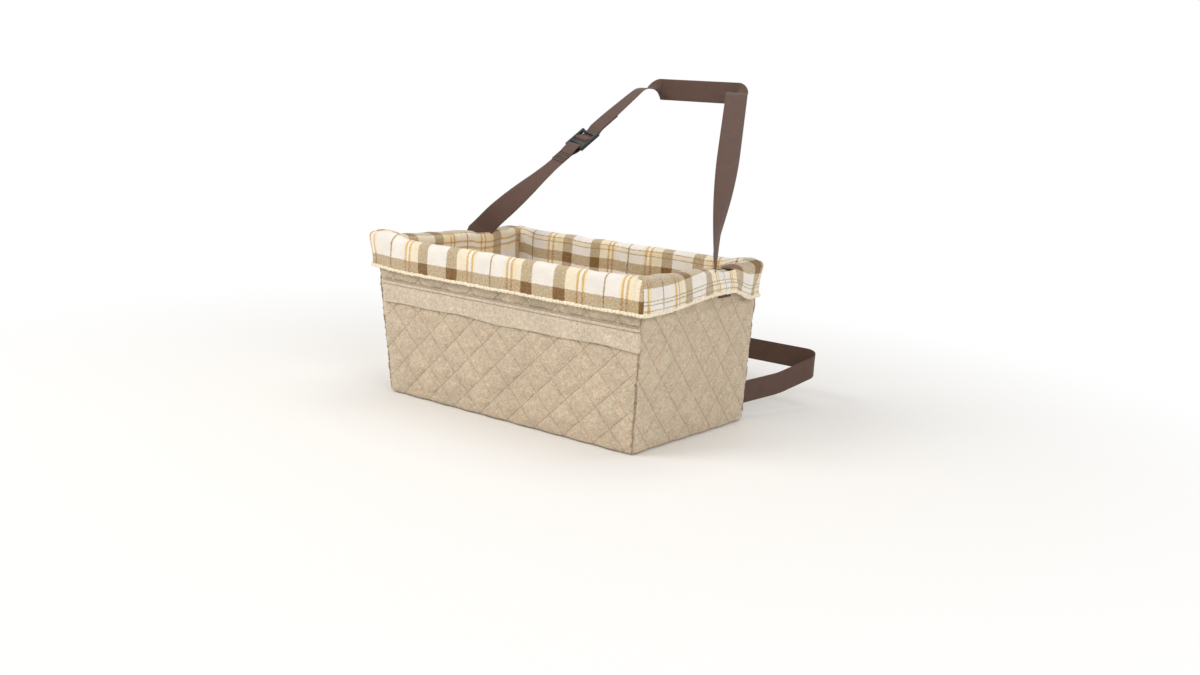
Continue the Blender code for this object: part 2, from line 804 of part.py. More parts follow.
def zip_pull(parent):
    """Flat pull that forks round the end of the slider and swings outward."""
    middle = SLIDER_BACK + SLIDER_THICKNESS / 2
    origin = WALLS["front"].point(SLIDER_START + PULL_AXIS_OFFSET, middle, ZIP_CENTRE)

    def fill(body):
        fork = SLIDER_START + PULL_AXIS_OFFSET - PULL_FORK_REACH
        blade = SLIDER_START + SLIDER_HALF_LENGTH + FIT
        tip = SLIDER_START + PULL_BLADE_END
        slot = SLIDER_HALF_HEIGHT + FIT
        wall = WALLS["front"]
        plan = ((fork, -PULL_HALF_HEIGHT), (tip, -PULL_HALF_HEIGHT), (tip, PULL_HALF_HEIGHT))
        plan += ((fork, PULL_HALF_HEIGHT), (fork, slot), (blade, slot), (blade, -slot), (fork, -slot))
        low = [wall.point(s, SLIDER_BACK, ZIP_CENTRE + z) for s, z in plan]
        high = [wall.point(s, SLIDER_BACK + SLIDER_THICKNESS, ZIP_CENTRE + z) for s, z in plan]
        add_loft(body, low, high)

    return make_object("zip_pull", fill, zip_metal(), parent, origin)


class Stop:
    """A place on a strap's route: its point, the webbing's width direction and a corner radius."""

    def __init__(self, point, width, radius=0.0):
        self.point = point
        self.width = width
        self.radius = radius


def rounded_route(stops):
    """Route in which each stop with a radius becomes an arc."""
    route = [(stops[0].point, stops[0].width)]
    for before, stop, after in zip(stops, stops[1:], stops[2:]):
        arriving = stop.point - before.point
        leaving = after.point - stop.point
        turn = arriving.angle(leaving, 0.0)
        if not stop.radius or turn < math.radians(1):
            route.append((stop.point, stop.width))
            continue
        reach = min(stop.radius * math.tan(turn / 2), arriving.length / 2, leaving.length / 2)
        radius = reach / math.tan(turn / 2)
        arriving.normalize()
        leaving.normalize()
        start = stop.point - arriving * reach
        inward = (leaving - arriving * arriving.dot(leaving)).normalized()
        steps = max(2, math.ceil(math.degrees(turn) / BEND_STEP_DEGREES))
        for i in range(steps + 1):
            angle = turn * i / steps
            offset = arriving * math.sin(angle) + inward * (1 - math.cos(angle))
            route.append((start + offset * radius, stop.width))
    route.append((stops[-1].point, stops[-1].width))
    return route


def add_webbing(body, stops):
    """Flat webbing along a route."""
    route = rounded_route(stops)
    rings = []
    for i, (point, width) in enumerate(route):
        before = (point - route[i - 1][0]).normalized() if i else Vector((0.0, 0.0, 0.0))
        after = (route[i + 1][0] - point).normalized() if i + 1 < len(route) else Vector((0.0, 0.0, 0.0))
        along = (before + after).normalized()
        across = (width - along * width.dot(along)).normalized() * (WEB_WIDTH / 2)
        face = along.cross(across).normalized() * (WEB_THICKNESS / 2)
        low, high = point - face, point + face
        rings.append((low - across, low + across, high + across, high - across))
    add_rings(body, rings, split=True)


def bar_loop(bar, along, face, width, lead=LOOP_LEAD):
    """End of a strap that goes behind a bar, round it and back over itself to a sewn tail."""
    loop = BAR_LOOP_RADIUS
    stops = [Stop(bar - along * (lead + LOOP_EASE), width, EASE_RADIUS)]
    stops.append(Stop(bar - along * lead - face * loop, width, EASE_RADIUS))
    for x, y in arc_points((0.0, 0.0), loop, -90, 90, 2 * CORNER_STEPS):
        stops.append(Stop(bar + along * x + face * y, width))
    stops.append(Stop(bar - along * lead + face * loop, width, EASE_RADIUS))
    stops.append(Stop(bar - along * (lead + LOOP_EASE) + face * LAP, width, EASE_RADIUS))
    stops.append(Stop(bar - along * (lead + LOOP_EASE + LOOP_TAIL) + face * LAP, width))
    return stops


class SupportStrap:
    """Route of one support strap, from its side wall up to the headrest post."""

    def __init__(self, side, twist_shares):
        self.side = side
        self.wall = WALLS["left" if side < 0 else "right"]
        self.twist_shares = twist_shares
        post = Vector((side * POST_X, POST_Y, CROWN_HEIGHT))
        rod = self.wall.point(STRAP_Y, 0.0, Z_ROD)
        climb = Vector((post.x - rod.x, 0.0, post.z - rod.z)).normalized()
        self.leave_angle = math.degrees(math.atan2(abs(climb.x), climb.z))
        outward = self.wall.normal * math.cos(math.radians(self.leave_angle))
        lift = Z_AXIS * math.sin(math.radians(self.leave_angle))
        self.knee = rod + (outward + lift) * STRAP_OFFSET + climb * STRAP_RISE
        self.touch = self.touch_point(post)
        level = Vector((self.touch.x - self.knee.x, self.touch.y - self.knee.y, 0.0)).normalized()
        self.bend = self.touch - level * CROWN_LEAD
        self.span = self.bend - self.knee
        self.along = self.span.normalized()
        self.level = level

    def touch_point(self, post):
        """Where the level part of the strap meets the loop round the post, at crown height."""
        flat = Vector((self.knee.x - post.x, self.knee.y - post.y))
        swing = math.acos(POST_LOOP_RADIUS / flat.length)
        angle = math.atan2(flat.y, flat.x) + self.side * swing
        offset = Vector((math.cos(angle), math.sin(angle), 0.0))
        return post + offset * POST_LOOP_RADIUS

    def width_at(self, angle, along=None):
        """Width direction at a twist angle: 90 stands the webbing on edge, 180 lays it flat."""
        along = along or self.along
        flat = along.cross(Z_AXIS).normalized() * -self.side
        upright = (Z_AXIS - along * Z_AXIS.dot(along)).normalized()
        turn = math.radians(angle)
        return flat * math.cos(turn) + upright * math.sin(turn)

    def twist_at(self, share):
        table = ((0.0, TWIST_FOOT_ANGLE),) + self.twist_shares + ((1.0, TWIST_CROWN_ANGLE),)
        for (low, first), (high, second) in zip(table, table[1:]):
            if share <= high:
                part = (share - low) / (high - low)
                return first + (second - first) * part
        return TWIST_CROWN_ANGLE

    def point_at(self, share):
        return self.knee + self.span * share

    def foot_stops(self):
        """Sewn end under the cuff, then over the rim and up to the knee."""
        width = -Y_AXIS
        stops = [Stop(self.wall.point(STRAP_Y, STRAP_OFFSET, Z_ROD - STRAP_SEWN_LENGTH), width)]
        for u, z in arc_points((0.0, Z_ROD), STRAP_OFFSET, 0, self.leave_angle, 3):
            stops.append(Stop(self.wall.point(STRAP_Y, u, z), width))
        stops.append(Stop(self.knee, self.width_at(TWIST_FOOT_ANGLE), STRAP_FOOT_RADIUS))
        return stops

    def span_stops(self, low, high):
        """Twisting stretch between two shares of the span."""
        count = max(1, round(self.span.length * (high - low) / TWIST_STEP))
        stops = []
        for i in range(count + 1):
            share = low + (high - low) * i / count
            stops.append(Stop(self.point_at(share), self.width_at(self.twist_at(share))))
        return stops

    def crown_stops(self):
        """Level stretch that turns on edge, and the wrap round the post."""
        stops = [Stop(self.bend, self.width_at(TWIST_CROWN_ANGLE), CROWN_RADIUS)]
        lead = 3 * CORNER_STEPS
        start = CROWN_RADIUS / 2 / CROWN_LEAD
        for i in range(lead // 3, lead):
            share = start + (1 - start) * i / lead
            angle = TWIST_CROWN_ANGLE - (TWIST_CROWN_ANGLE - 90.0) * (i - lead // 3) / (lead - lead // 3)
            point = self.bend + (self.touch - self.bend) * share
            stops.append(Stop(point, self.width_at(angle, self.level)))
        post = Vector((self.side * POST_X, POST_Y, CROWN_HEIGHT))
        first = self.touch - post
        turn = first.angle(Y_AXIS)
        for i in range(CORNER_STEPS + 1):
            spin = Matrix.Rotation(-turn * i / CORNER_STEPS * -self.side, 3, "Z")
            stops.append(Stop(post + spin @ first, Z_AXIS))
        return stops


def slide_frame(strap):
    """Centre and directions of the slide adjuster, which lies along the strap."""
    share = SLIDE_SHARE
    width = strap.width_at(strap.twist_at(share))
    face = strap.along.cross(width)
    return strap.point_at(share), strap.along, width, face


def left_support_strap(strap, parent):
    """Lower part of the left strap, sewn to the wall and looped round the slide's first bar."""

    def fill(body):
        centre, along, width, face = slide_frame(strap)
        bar = centre - along * SLIDE_BAR_PITCH
        loop = bar_loop(bar, along, face, width)
        start = TWIST_STEP / strap.span.length
        reach = (loop[0].point - strap.knee).length / strap.span.length - start
        stops = strap.foot_stops() + strap.span_stops(start * FIRST_TWIST_STEPS, reach) + loop
        add_webbing(body, stops)

    return make_object("left_support_strap", fill, webbing(), parent)


def slide_tail_stops(strap):
    """Free tail behind the strap, round the slide's middle bar and out past its top bar."""
    centre, along, width, face = slide_frame(strap)
    loop = BAR_LOOP_RADIUS

    def at(x, y, radius=0.0):
        return Stop(centre + along * x + face * y, width, radius)

    pitch = SLIDE_BAR_PITCH
    past = pitch + LOOP_LEAD / 2
    stops = [at(past + SLIDE_TAIL, -LAP)]
    stops.append(at(past + LOOP_EASE, -LAP, EASE_RADIUS))
    stops.append(at(past, -loop - LAP, EASE_RADIUS))
    stops.append(at(pitch - BAR_REACH - LAP, -loop - LAP, EASE_RADIUS))
    stops.append(at(LAP, -loop, EASE_RADIUS / 2))
    for x, y in arc_points((0.0, 0.0), loop, 270, 90, 2 * CORNER_STEPS):
        stops.append(at(x, y))
    stops.append(at(LAP, loop, BAR_REACH))
    stops.append(at(pitch - BAR_REACH - LAP / 2, -loop, BAR_REACH))
    stops.append(at(past, -loop, EASE_RADIUS))
    stops.append(at(past + LOOP_EASE, 0.0, EASE_RADIUS))
    return stops


def headrest_strap(left, right, parent):
    """Upper strap, from the slide round both headrest posts and down to the right wall."""

    def fill(body):
        tail = slide_tail_stops(left)
        start = (tail[-1].point - left.knee).length / left.span.length
        step = TWIST_STEP / left.span.length
        margin = 1 - 2 * step
        stops = tail + left.span_stops(start + step, margin) + left.crown_stops()
        stops += right.crown_stops()[::-1] + right.span_stops(step * FIRST_TWIST_STEPS, margin)[::-1]
        stops += right.foot_stops()[::-1]
        add_webbing(body, stops)

    return make_object("headrest_strap", fill, webbing(), parent)


def add_bar_plate(body, frame, xs, ys, holes, half_thickness):
    """Flat plate on a grid of cells, some of them left open, in a frame whose Z is its thickness."""
    for i in range(len(xs) - 1):
        for j in range(len(ys) - 1):
            if (i, j) in holes:
                continue
            corners = ((xs[i], ys[j]), (xs[i + 1], ys[j]), (xs[i + 1], ys[j + 1]), (xs[i], ys[j + 1]))
            body.faces.new([body.verts.new((x, y, -half_thickness)) for x, y in corners])
    bmesh.ops.remove_doubles(body, verts=body.verts, dist=FIT / 10)
    made = bmesh.ops.extrude_face_region(body, geom=list(body.faces))
    moved = [item for item in made["geom"] if isinstance(item, bmesh.types.BMVert)]
    bmesh.ops.translate(body, verts=moved, vec=Z_AXIS * 2 * half_thickness)
    bmesh.ops.transform(body, matrix=frame, verts=body.verts)


def strap_slide(strap, parent):
    """Flat plastic slide with three bars."""
    centre, along, width, face = slide_frame(strap)

    def fill(body):
        frame = Matrix((along, width, along.cross(width))).transposed().to_4x4()
        frame.translation = centre
        pitch, half = SLIDE_BAR_PITCH, BAR_HALF_WIDTH
        xs = (-pitch - half, -pitch + half, -half, half, pitch - half, pitch + half)
        ys = (-SLIDE_WIDTH / 2, -SLIDE_WINDOW_WIDTH / 2, SLIDE_WINDOW_WIDTH / 2, SLIDE_WIDTH / 2)
        add_bar_plate(body, frame, xs, ys, ((1, 1), (3, 1)), SLIDE_THICKNESS / 2)

    slide = make_object("strap_slide", fill, black_plastic(), parent)
    bevel(slide, SLIDE_EDGE)
    return slide


def seat_strap(side, bar_x, name, parent):
    """Strap sewn to the rear wall that goes round the seat back to one half of the buckle."""

    def fill(body):
        rear = WALLS["rear"]
        start = rear.point(side * SEAT_STRAP_SEWN_FROM, STRAP_OFFSET, SEAT_STRAP_HEIGHT)
        corner = rear.point(side * SEAT_STRAP_SEWN_TO, STRAP_OFFSET, SEAT_STRAP_HEIGHT)
        turn = Vector((side * SEAT_LOOP_HALF_WIDTH, SEAT_LOOP_REACH, SEAT_LOOP_HEIGHT))
        sag = corner.lerp(turn, SEAT_SAG_SHARE) - Z_AXIS * SEAT_SAG
        bar = Vector((bar_x, SEAT_LOOP_REACH, SEAT_LOOP_HEIGHT))
        stops = [Stop(start, Z_AXIS), Stop(corner, Z_AXIS, SEAT_STRAP_CORNER_RADIUS)]
        stops.append(Stop(sag, Z_AXIS, SEAT_SAG_RADIUS))
        stops.append(Stop(turn, Z_AXIS, SEAT_LOOP_RADIUS))
        stops += bar_loop(bar, -X_AXIS * side, Y_AXIS, Z_AXIS)
        add_webbing(body, stops)

    return make_object(name, fill, webbing(), parent)


def buckle_frame():
    """Buckle frame: X runs from plug to socket, Y is its width and Z its thickness."""
    frame = Matrix((X_AXIS, Z_AXIS, -Y_AXIS)).transposed().to_4x4()
    frame.translation = Vector((0.0, SEAT_LOOP_REACH, SEAT_LOOP_HEIGHT))
    return frame


def buckle_piece_box(name, low, high, parent):
    def fill(body):
        add_box(body, low, high, buckle_frame())

    return make_object(name, fill, None, parent)


def buckle_socket(parent):
    """Hollow socket with two side windows and a strap bar."""
    half = BUCKLE_HEIGHT / 2
    thick = BUCKLE_THICKNESS / 2
    cavity = BUCKLE_CAVITY_HALF
    inner = half - BUCKLE_WALL
    end = SOCKET_BAR_X + BAR_HALF_WIDTH
    over = CUT_OVERRUN
    cell = SOCKET_LENGTH + SOCKET_END_WALL

    def fill(body):
        xs = (0.0, cell, SOCKET_BAR_X - BAR_HALF_WIDTH, end)
        ys = (-half, -half + RAIL_WIDTH, half - RAIL_WIDTH, half)
        add_bar_plate(body, buckle_frame(), xs, ys, ((1, 1), (2, 1)), thick)

    socket = make_object("buckle_socket", fill, black_plastic(), parent)
    low = (-over, -inner, -cavity)
    hollow = buckle_piece_box("socket_hollow", low, (SOCKET_LENGTH, inner, cavity), parent)
    boolean(socket, hollow, "DIFFERENCE")
    low = (WINDOW_START, -half - over, -cavity)
    windows = buckle_piece_box("socket_windows", low, (WINDOW_END, half + over, cavity), parent)
    boolean(socket, windows, "DIFFERENCE")
    reach = half - RAIL_WIDTH / 2
    low = (SOCKET_BAR_X - BAR_HALF_WIDTH, -reach, -BAR_HALF_THICKNESS)
    bar = buckle_piece_box("socket_bar", low, (end, reach, BAR_HALF_THICKNESS), parent)
    boolean(socket, bar, "UNION")
    return socket


def buckle_plug(parent):
    """Plug block with its tongue and strap bar."""
    half = BUCKLE_HEIGHT / 2
    thick = TONGUE_HALF_THICKNESS
    end = PLUG_BAR_X - BAR_HALF_WIDTH

    def fill(body):
        xs = (end, PLUG_BAR_X + BAR_HALF_WIDTH, PLUG_BLOCK_REAR, PLUG_BLOCK_FRONT, TONGUE_LENGTH)
        rail, tongue = half - RAIL_WIDTH, TONGUE_HALF_HEIGHT
        ys = (-half, -rail, -tongue, tongue, rail, half)
        holes = [(i, j) for i in (0, 1) for j in (1, 2, 3)] + [(3, 0), (3, 1), (3, 3), (3, 4)]
        add_bar_plate(body, buckle_frame(), xs, ys, holes, thick)

    plug = make_object("buckle_plug", fill, black_plastic(), parent)
    reach = half - RAIL_WIDTH / 2
    low = (end, -reach, -BAR_HALF_THICKNESS)
    high = (PLUG_BAR_X + BAR_HALF_WIDTH, reach, BAR_HALF_THICKNESS)
    boolean(plug, buckle_piece_box("plug_bar", low, high, parent), "UNION")
    return plug


def buckle_arm(side, name, parent):
    """Springy arm of the plug, with a round root and a shoulder that locks in the window."""
    origin = buckle_frame() @ Vector((ARM_PIVOT_X, side * ARM_PIVOT_Z, 0.0))

    def fill(body):
        outline = arc_points((ARM_PIVOT_X, ARM_PIVOT_Z), ARM_BOSS_RADIUS, 90, 270, CORNER_STEPS)
        outline.append((ARM_SHOULDER_X, ARM_ROOT_INNER + FIT))
        outline.append((ARM_TIP_X, ARM_INNER_HEIGHT))
        outline.append((ARM_TIP_X, ARM_TIP_HEIGHT))
        outline.append((ARM_CREST_END, ARM_TOP))
        outline.append((ARM_SHOULDER_X, ARM_TOP))
        outline.append((ARM_SHOULDER_X, ARM_NECK_HEIGHT))
        frame = buckle_frame()
        low = [frame @ Vector((x, side * y, -TONGUE_HALF_THICKNESS)) for x, y in outline]
        high = [frame @ Vector((x, side * y, TONGUE_HALF_THICKNESS)) for x, y in outline]
        add_loft(body, low, high, strip=False)

    return make_object(name, fill, black_plastic(), parent, origin)


def build_rim(parent):
    rim_frame(-1, "rim_frame_left", parent)
    rim_frame(1, "rim_frame_right", parent)
    rim_ferrule(-Y_ROD, "rim_ferrule_front", parent)
    rim_ferrule(Y_ROD, "rim_ferrule_rear", parent)


def build_walls(parent):
    for side_name in WALLS:
        rim_casing(side_name, parent)
        panel = quilted_panel(side_name, parent)
        if side_name == "front":
            zip_window(panel, parent)
        wall_board(side_name, parent)
        liner = liner_side(side_name, parent)
        if side_name in ("left", "right"):
            strap_slot(liner, side_name, parent)
        cuff_binding(side_name, parent)


def build_floor(parent):
    base_panel(parent)
    base_board(parent)
    liner_floor(parent)
    floor_cushion(parent)


def build_pocket(parent):
    pocket_flap(parent)
    pocket_pouch(parent)
    zip_tape(1, "zip_tape_upper", parent)
    zip_tape(-1, "zip_tape_lower", parent)
    zip_teeth(parent)
    zip_slider(parent)
    zip_pull(parent)


def build_straps(parent):
    left = SupportStrap(-1, LEFT_TWIST_SHARES)
    right = SupportStrap(1, RIGHT_TWIST_SHARES)
    left_support_strap(left, parent)
    strap_slide(left, parent)
    headrest_strap(left, right, parent)
    seat_strap(-1, PLUG_BAR_X, "seat_strap_left", parent)
    seat_strap(1, SOCKET_BAR_X, "seat_strap_right", parent)


def build_buckle(parent):
    buckle_socket(parent)
    buckle_plug(parent)
    buckle_arm(1, "buckle_arm_upper", parent)
    buckle_arm(-1, "buckle_arm_lower", parent)


def main():
    clear_scene()
    box = bpy.data.objects.new("box_frame", None)
    bpy.context.scene.collection.objects.link(box)
    box.location = -LOOP_POINT
    build_rim(box)
    build_walls(box)
    build_floor(box)
    build_pocket(box)
    build_straps(box)
    build_buckle(box)


main()
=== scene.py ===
"""Looks of a quilted booster box for a small dog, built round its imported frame."""
import json
import math

import bmesh
import bpy
import numpy as np
from bpy.props import FloatProperty, FloatVectorProperty, PointerProperty
from mathutils import Matrix, Vector, noise

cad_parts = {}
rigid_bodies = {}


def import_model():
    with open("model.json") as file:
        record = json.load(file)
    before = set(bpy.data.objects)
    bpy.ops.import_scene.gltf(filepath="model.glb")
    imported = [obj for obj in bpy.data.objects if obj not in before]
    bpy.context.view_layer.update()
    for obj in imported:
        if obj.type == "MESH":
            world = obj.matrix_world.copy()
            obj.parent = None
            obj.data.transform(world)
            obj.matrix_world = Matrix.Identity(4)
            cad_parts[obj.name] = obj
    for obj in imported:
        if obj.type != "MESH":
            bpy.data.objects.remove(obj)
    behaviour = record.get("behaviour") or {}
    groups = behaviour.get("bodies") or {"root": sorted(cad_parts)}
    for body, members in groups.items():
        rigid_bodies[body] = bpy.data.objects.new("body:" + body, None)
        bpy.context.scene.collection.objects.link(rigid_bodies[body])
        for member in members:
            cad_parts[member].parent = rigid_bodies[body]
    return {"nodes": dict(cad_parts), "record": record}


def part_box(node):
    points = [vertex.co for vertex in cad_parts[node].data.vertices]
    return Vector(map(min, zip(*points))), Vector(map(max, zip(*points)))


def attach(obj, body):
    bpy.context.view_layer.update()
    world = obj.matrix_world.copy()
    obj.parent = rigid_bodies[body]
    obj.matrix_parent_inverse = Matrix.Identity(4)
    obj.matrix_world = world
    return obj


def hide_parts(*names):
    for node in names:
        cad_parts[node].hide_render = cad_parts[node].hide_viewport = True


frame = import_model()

bl_info = {
    "name": "Dog booster box",
    "version": (1, 0, 0),
    "blender": (4, 5, 0),
    "location": "View3D > Sidebar > Booster",
    "description": "Quilted booster box with a plush cuff, a pocket and webbing straps",
    "category": "Object",
}

for leftover in list(bpy.data.objects):
    if leftover.name not in frame["nodes"] and leftover.parent is None and leftover.type != "EMPTY":
        bpy.data.objects.remove(leftover)

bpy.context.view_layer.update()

# Box frame: the middle of the underside, with the front towards -Y
ORIGIN = np.array(next(m["pos_m"] for m in frame["record"]["mounts"] if m["name"] == "underside"))
MM = 0.001


def node_box(name):
    """Lowest and highest corner of a frame node, measured from the middle of the underside."""
    low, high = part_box(name)
    return np.array(low) - ORIGIN, np.array(high) - ORIGIN


ROD_LOW, ROD_HIGH = node_box("rim_frame_left")
ROD_RADIUS = (ROD_HIGH[2] - ROD_LOW[2]) / 2
ROD_Z = (ROD_HIGH[2] + ROD_LOW[2]) / 2
ROD_X = -ROD_LOW[0] - ROD_RADIUS
ROD_Y = ROD_HIGH[1] - ROD_RADIUS
FLAP_LOW, FLAP_HIGH = node_box("pocket_flap")
STRAP_FOOT_Z = node_box("left_support_strap")[0][2]
LINER_FOOT = node_box("liner_floor")[0][2]
STRAP_Y = 0.060
SLOT_HALF_WIDTH = 0.0215
WEB_WIDTH = 0.038
WEB_THICKNESS = 0.0014
QUARTER = math.pi / 4
# How much further the right cover reaches at its foot towards the rear
REAR_SPLAY = 0.0100


def srgb(code):
    """Red, green and blue of a hex colour, from 0 to 1."""
    return tuple(int(code[i:i + 2], 16) / 255 for i in (1, 3, 5))


def linear(colour):
    """Linear colour of an sRGB hex value or triple."""
    values = srgb(colour) if isinstance(colour, str) else colour
    return tuple(c / 12.92 if c <= 0.04045 else ((c + 0.055) / 1.055) ** 2.4 for c in values[:3]) + (1.0,)


# Settings

def length_setting(name, default, description):
    """Setting for a length in metres."""
    return FloatProperty(name=name, description=description, default=default, unit="LENGTH")


def colour_setting(name, code, description):
    """Setting for a colour, from its hex code."""
    return FloatVectorProperty(name=name, description=description, size=3, subtype="COLOR_GAMMA",
                               default=srgb(code))


class BoosterSizes(bpy.types.PropertyGroup):
    """Sizes of the soft parts that the frame leaves free."""

    cuff_flare: length_setting("Cuff flare", 0.0135, "How far the hem stands out from the rod")
    side_flare: length_setting("Side flare", 0.0155, "The same on the side walls")
    hem_height: length_setting("Hem height", 0.2140, "Height of the hem above the underside")
    hem_lift: length_setting("Hem lift", 0.0160, "How far the right strap lifts the hem")
    roll_radius: length_setting("Rim roll", 0.0100, "Radius of the plush over the rod")
    fleece_thickness: length_setting("Fleece thickness", 0.0034, "Thickness of the plush lining")
    diamond_width: length_setting("Diamond width", 0.0555, "Width of a quilted diamond")
    diamond_height: length_setting("Diamond height", 0.0565, "Height of a quilted diamond")
    puff: length_setting("Puff", 0.0036, "Rise of a diamond above its seams")
    side_swell: length_setting("Right swell", 0.0110, "How far the right cover leans out at its top")
    left_swell: length_setting("Left swell", 0.0200, "The same on the left, where the strap pulls more")
    rear_swell: length_setting("Rear swell", 0.0040, "The same on the rear cover")
    bottom_roll: length_setting("Bottom roll", 0.0080, "Radius of the lower edges")


class BoosterColours(bpy.types.PropertyGroup):
    """Colours of the cloths and the webbing."""

    suede: colour_setting("Suede", "#CABAA4", "Brushed suede of the covers")
    pocket: colour_setting("Pocket suede", "#CFC1AE", "Smooth suede of the pocket band")
    cream: colour_setting("Cream", "#EBE4DB", "Ground of the plaid")
    hem: colour_setting("Hem", "#F7EBD0", "Gathered hem of the cuff")
    taupe: colour_setting("Taupe", "#AE966A", "Broad bands of the plaid")
    crossing: colour_setting("Crossing", "#79541C", "Brown where two broad bands cross")
    gold: colour_setting("Gold", "#D0A43C", "Fine lines of the plaid")
    webbing: colour_setting("Webbing", "#5A4034", "Polyester webbing of the straps")


def sizes():
    """The sizes of this scene."""
    return bpy.context.scene.booster_sizes


def colours():
    """The colours of this scene."""
    return bpy.context.scene.booster_colours


# Shader nodes

def add_node(tree, kind, inputs=None, **settings):
    """Add a shader node, set what it has, and link the inputs that are given as outputs."""
    made = tree.nodes.new(kind)
    for key, value in settings.items():
        setattr(made, key, value)
    for key, value in (inputs or {}).items():
        if isinstance(value, bpy.types.NodeSocket):
            tree.links.new(value, made.inputs[key])
        else:
            made.inputs[key].default_value = value
    return made


def maths(tree, operation, *values):
    """Result of a sum on numbers and outputs."""
    return add_node(tree, "ShaderNodeMath", dict(enumerate(values)), operation=operation).outputs[0]


def vector_maths(tree, operation, *values):
    """Result of a sum on vectors and colours, which is a number for a length."""
    made = add_node(tree, "ShaderNodeVectorMath", dict(enumerate(values)), operation=operation)
    return made.outputs["Value" if operation == "LENGTH" else "Vector"]


def ranged(tree, value, low, high, first, last, way="LINEAR"):
    """Value taken from one range to another."""
    inputs = {"Value": value, "From Min": low, "From Max": high, "To Min": first, "To Max": last}
    return add_node(tree, "ShaderNodeMapRange", inputs, interpolation_type=way).outputs["Result"]


def grain(tree, vector, scale, detail=2.0, output="Fac"):
    """Noise with its scale in features per metre."""
    inputs = {"Vector": vector, "Scale": scale, "Detail": detail}
    return add_node(tree, "ShaderNodeTexNoise", inputs).outputs[output]


def mottle(tree, vector, base, spread, scale, detail=3.0):
    """Colour that drifts a little lighter and darker over a surface."""
    change = ranged(tree, grain(tree, vector, scale, detail), 0.3, 0.7, 1 - spread, 1 + spread)
    return vector_maths(tree, "MULTIPLY", base, change)


def bump(tree, height, strength, depth, normal=None):
    """Relief whose depth is in millimetres, over another one where that is given."""
    inputs = {"Height": height, "Strength": strength, "Distance": depth * MM}
    if normal is not None:
        inputs["Normal"] = normal
    return add_node(tree, "ShaderNodeBump", inputs).outputs["Normal"]


def nap(tree, vector, scale, strength, depth, detail=4.0, normal=None):
    """Short uneven nap as relief, with its scale in features per metre."""
    inputs = {"Vector": vector, "Scale": scale, "Detail": detail, "Roughness": 0.65}
    tufts = add_node(tree, "ShaderNodeTexNoise", inputs)
    return bump(tree, tufts.outputs["Fac"], strength, depth, normal)


def near(tree, distance, inner, outer):
    """One on a line, falling to zero at the outer distance, both in millimetres."""
    return ranged(tree, distance, inner * MM, outer * MM, 1.0, 0.0, "SMOOTHSTEP")


def line_distance(tree, value, step):
    """Distance in metres from the nearest whole number, of a coordinate whose step is given."""
    return maths(tree, "MULTIPLY", maths(tree, "PINGPONG", value, 0.5), step)


def mix_colour(tree, factor, first, second, blend="MIX"):
    """One colour laid over another."""
    inputs = {0: factor, 6: first, 7: second}
    made = add_node(tree, "ShaderNodeMix", inputs, data_type="RGBA", blend_type=blend)
    return made.outputs[2]


def on_object(tree):
    """Coordinates in metres of a point on its object."""
    return add_node(tree, "ShaderNodeTexCoord").outputs["Object"]


def on_cloth(tree, name="cloth"):
    """Coordinates of a point on its flat cloth."""
    return add_node(tree, "ShaderNodeUVMap", uv_map=name).outputs["UV"]


def axes_of(tree, vector):
    """First two numbers of a vector."""
    return add_node(tree, "ShaderNodeSeparateXYZ", {0: vector}).outputs[:2]


def new_material(name, **shader):
    """Shader tree of a new material, with the constant values of its Principled shader set."""
    material = bpy.data.materials.new(name)
    material.use_nodes = True
    principled = material.node_tree.nodes["Principled BSDF"]
    for key, value in shader.items():
        principled.inputs[key.replace("_", " ")].default_value = value
    material.diffuse_color = principled.inputs["Base Color"].default_value
    return material.node_tree


def finish_shader(tree, **outputs):
    """Link what varies over a surface to its Principled shader."""
    for key, value in outputs.items():
        tree.links.new(value, tree.nodes["Principled BSDF"].inputs[key.replace("_", " ")])


# Materials: each note says how the real one is made and what shows of that

def suede_colour(tree, vector, colour):
    """Brushed suede: large soft clouds, small finger marks and a fine grain of darker fibres."""
    base = mottle(tree, vector, linear(colour)[:3], 0.06, 24.0)
    base = mottle(tree, vector, base, 0.11, 150.0, 5.0)
    tint = add_node(tree, "ShaderNodeValToRGB", {"Fac": grain(tree, vector, 130.0, 4.0)})
    for element, position, code in zip(tint.color_ramp.elements, (0.38, 0.62), ("#F9FBF6", "#FFF8F4")):
        element.position = position
        element.color = linear(code)
    base = mix_colour(tree, 1.0, base, tint.outputs["Color"], "MULTIPLY")
    base = mottle(tree, vector, base, 0.15, 330.0, 4.0)
    return mottle(tree, vector, base, 0.27, 820.0, 5.0)


# Length of a quilting stitch and of the band's, and where the band's two rows run, in millimetres
QUILT_STITCH = 3.6
BAND_STITCH = 3.4
BAND_ROWS = (1.6, 7.4)


def stitch_and_shade(tree, base, height, crease, run, gap, thread):
    """Paint shade into a crease and thread colour on the stitches along it, and sink it into the cloth."""
    shade = maths(tree, "MULTIPLY", crease, ranged(tree, maths(tree, "FRACT", run), *gap))
    sunk = maths(tree, "MULTIPLY", crease, -1.0)
    lowest = sunk if height is None else maths(tree, "MINIMUM", height, sunk)
    return mix_colour(tree, shade, base, linear(thread)), lowest


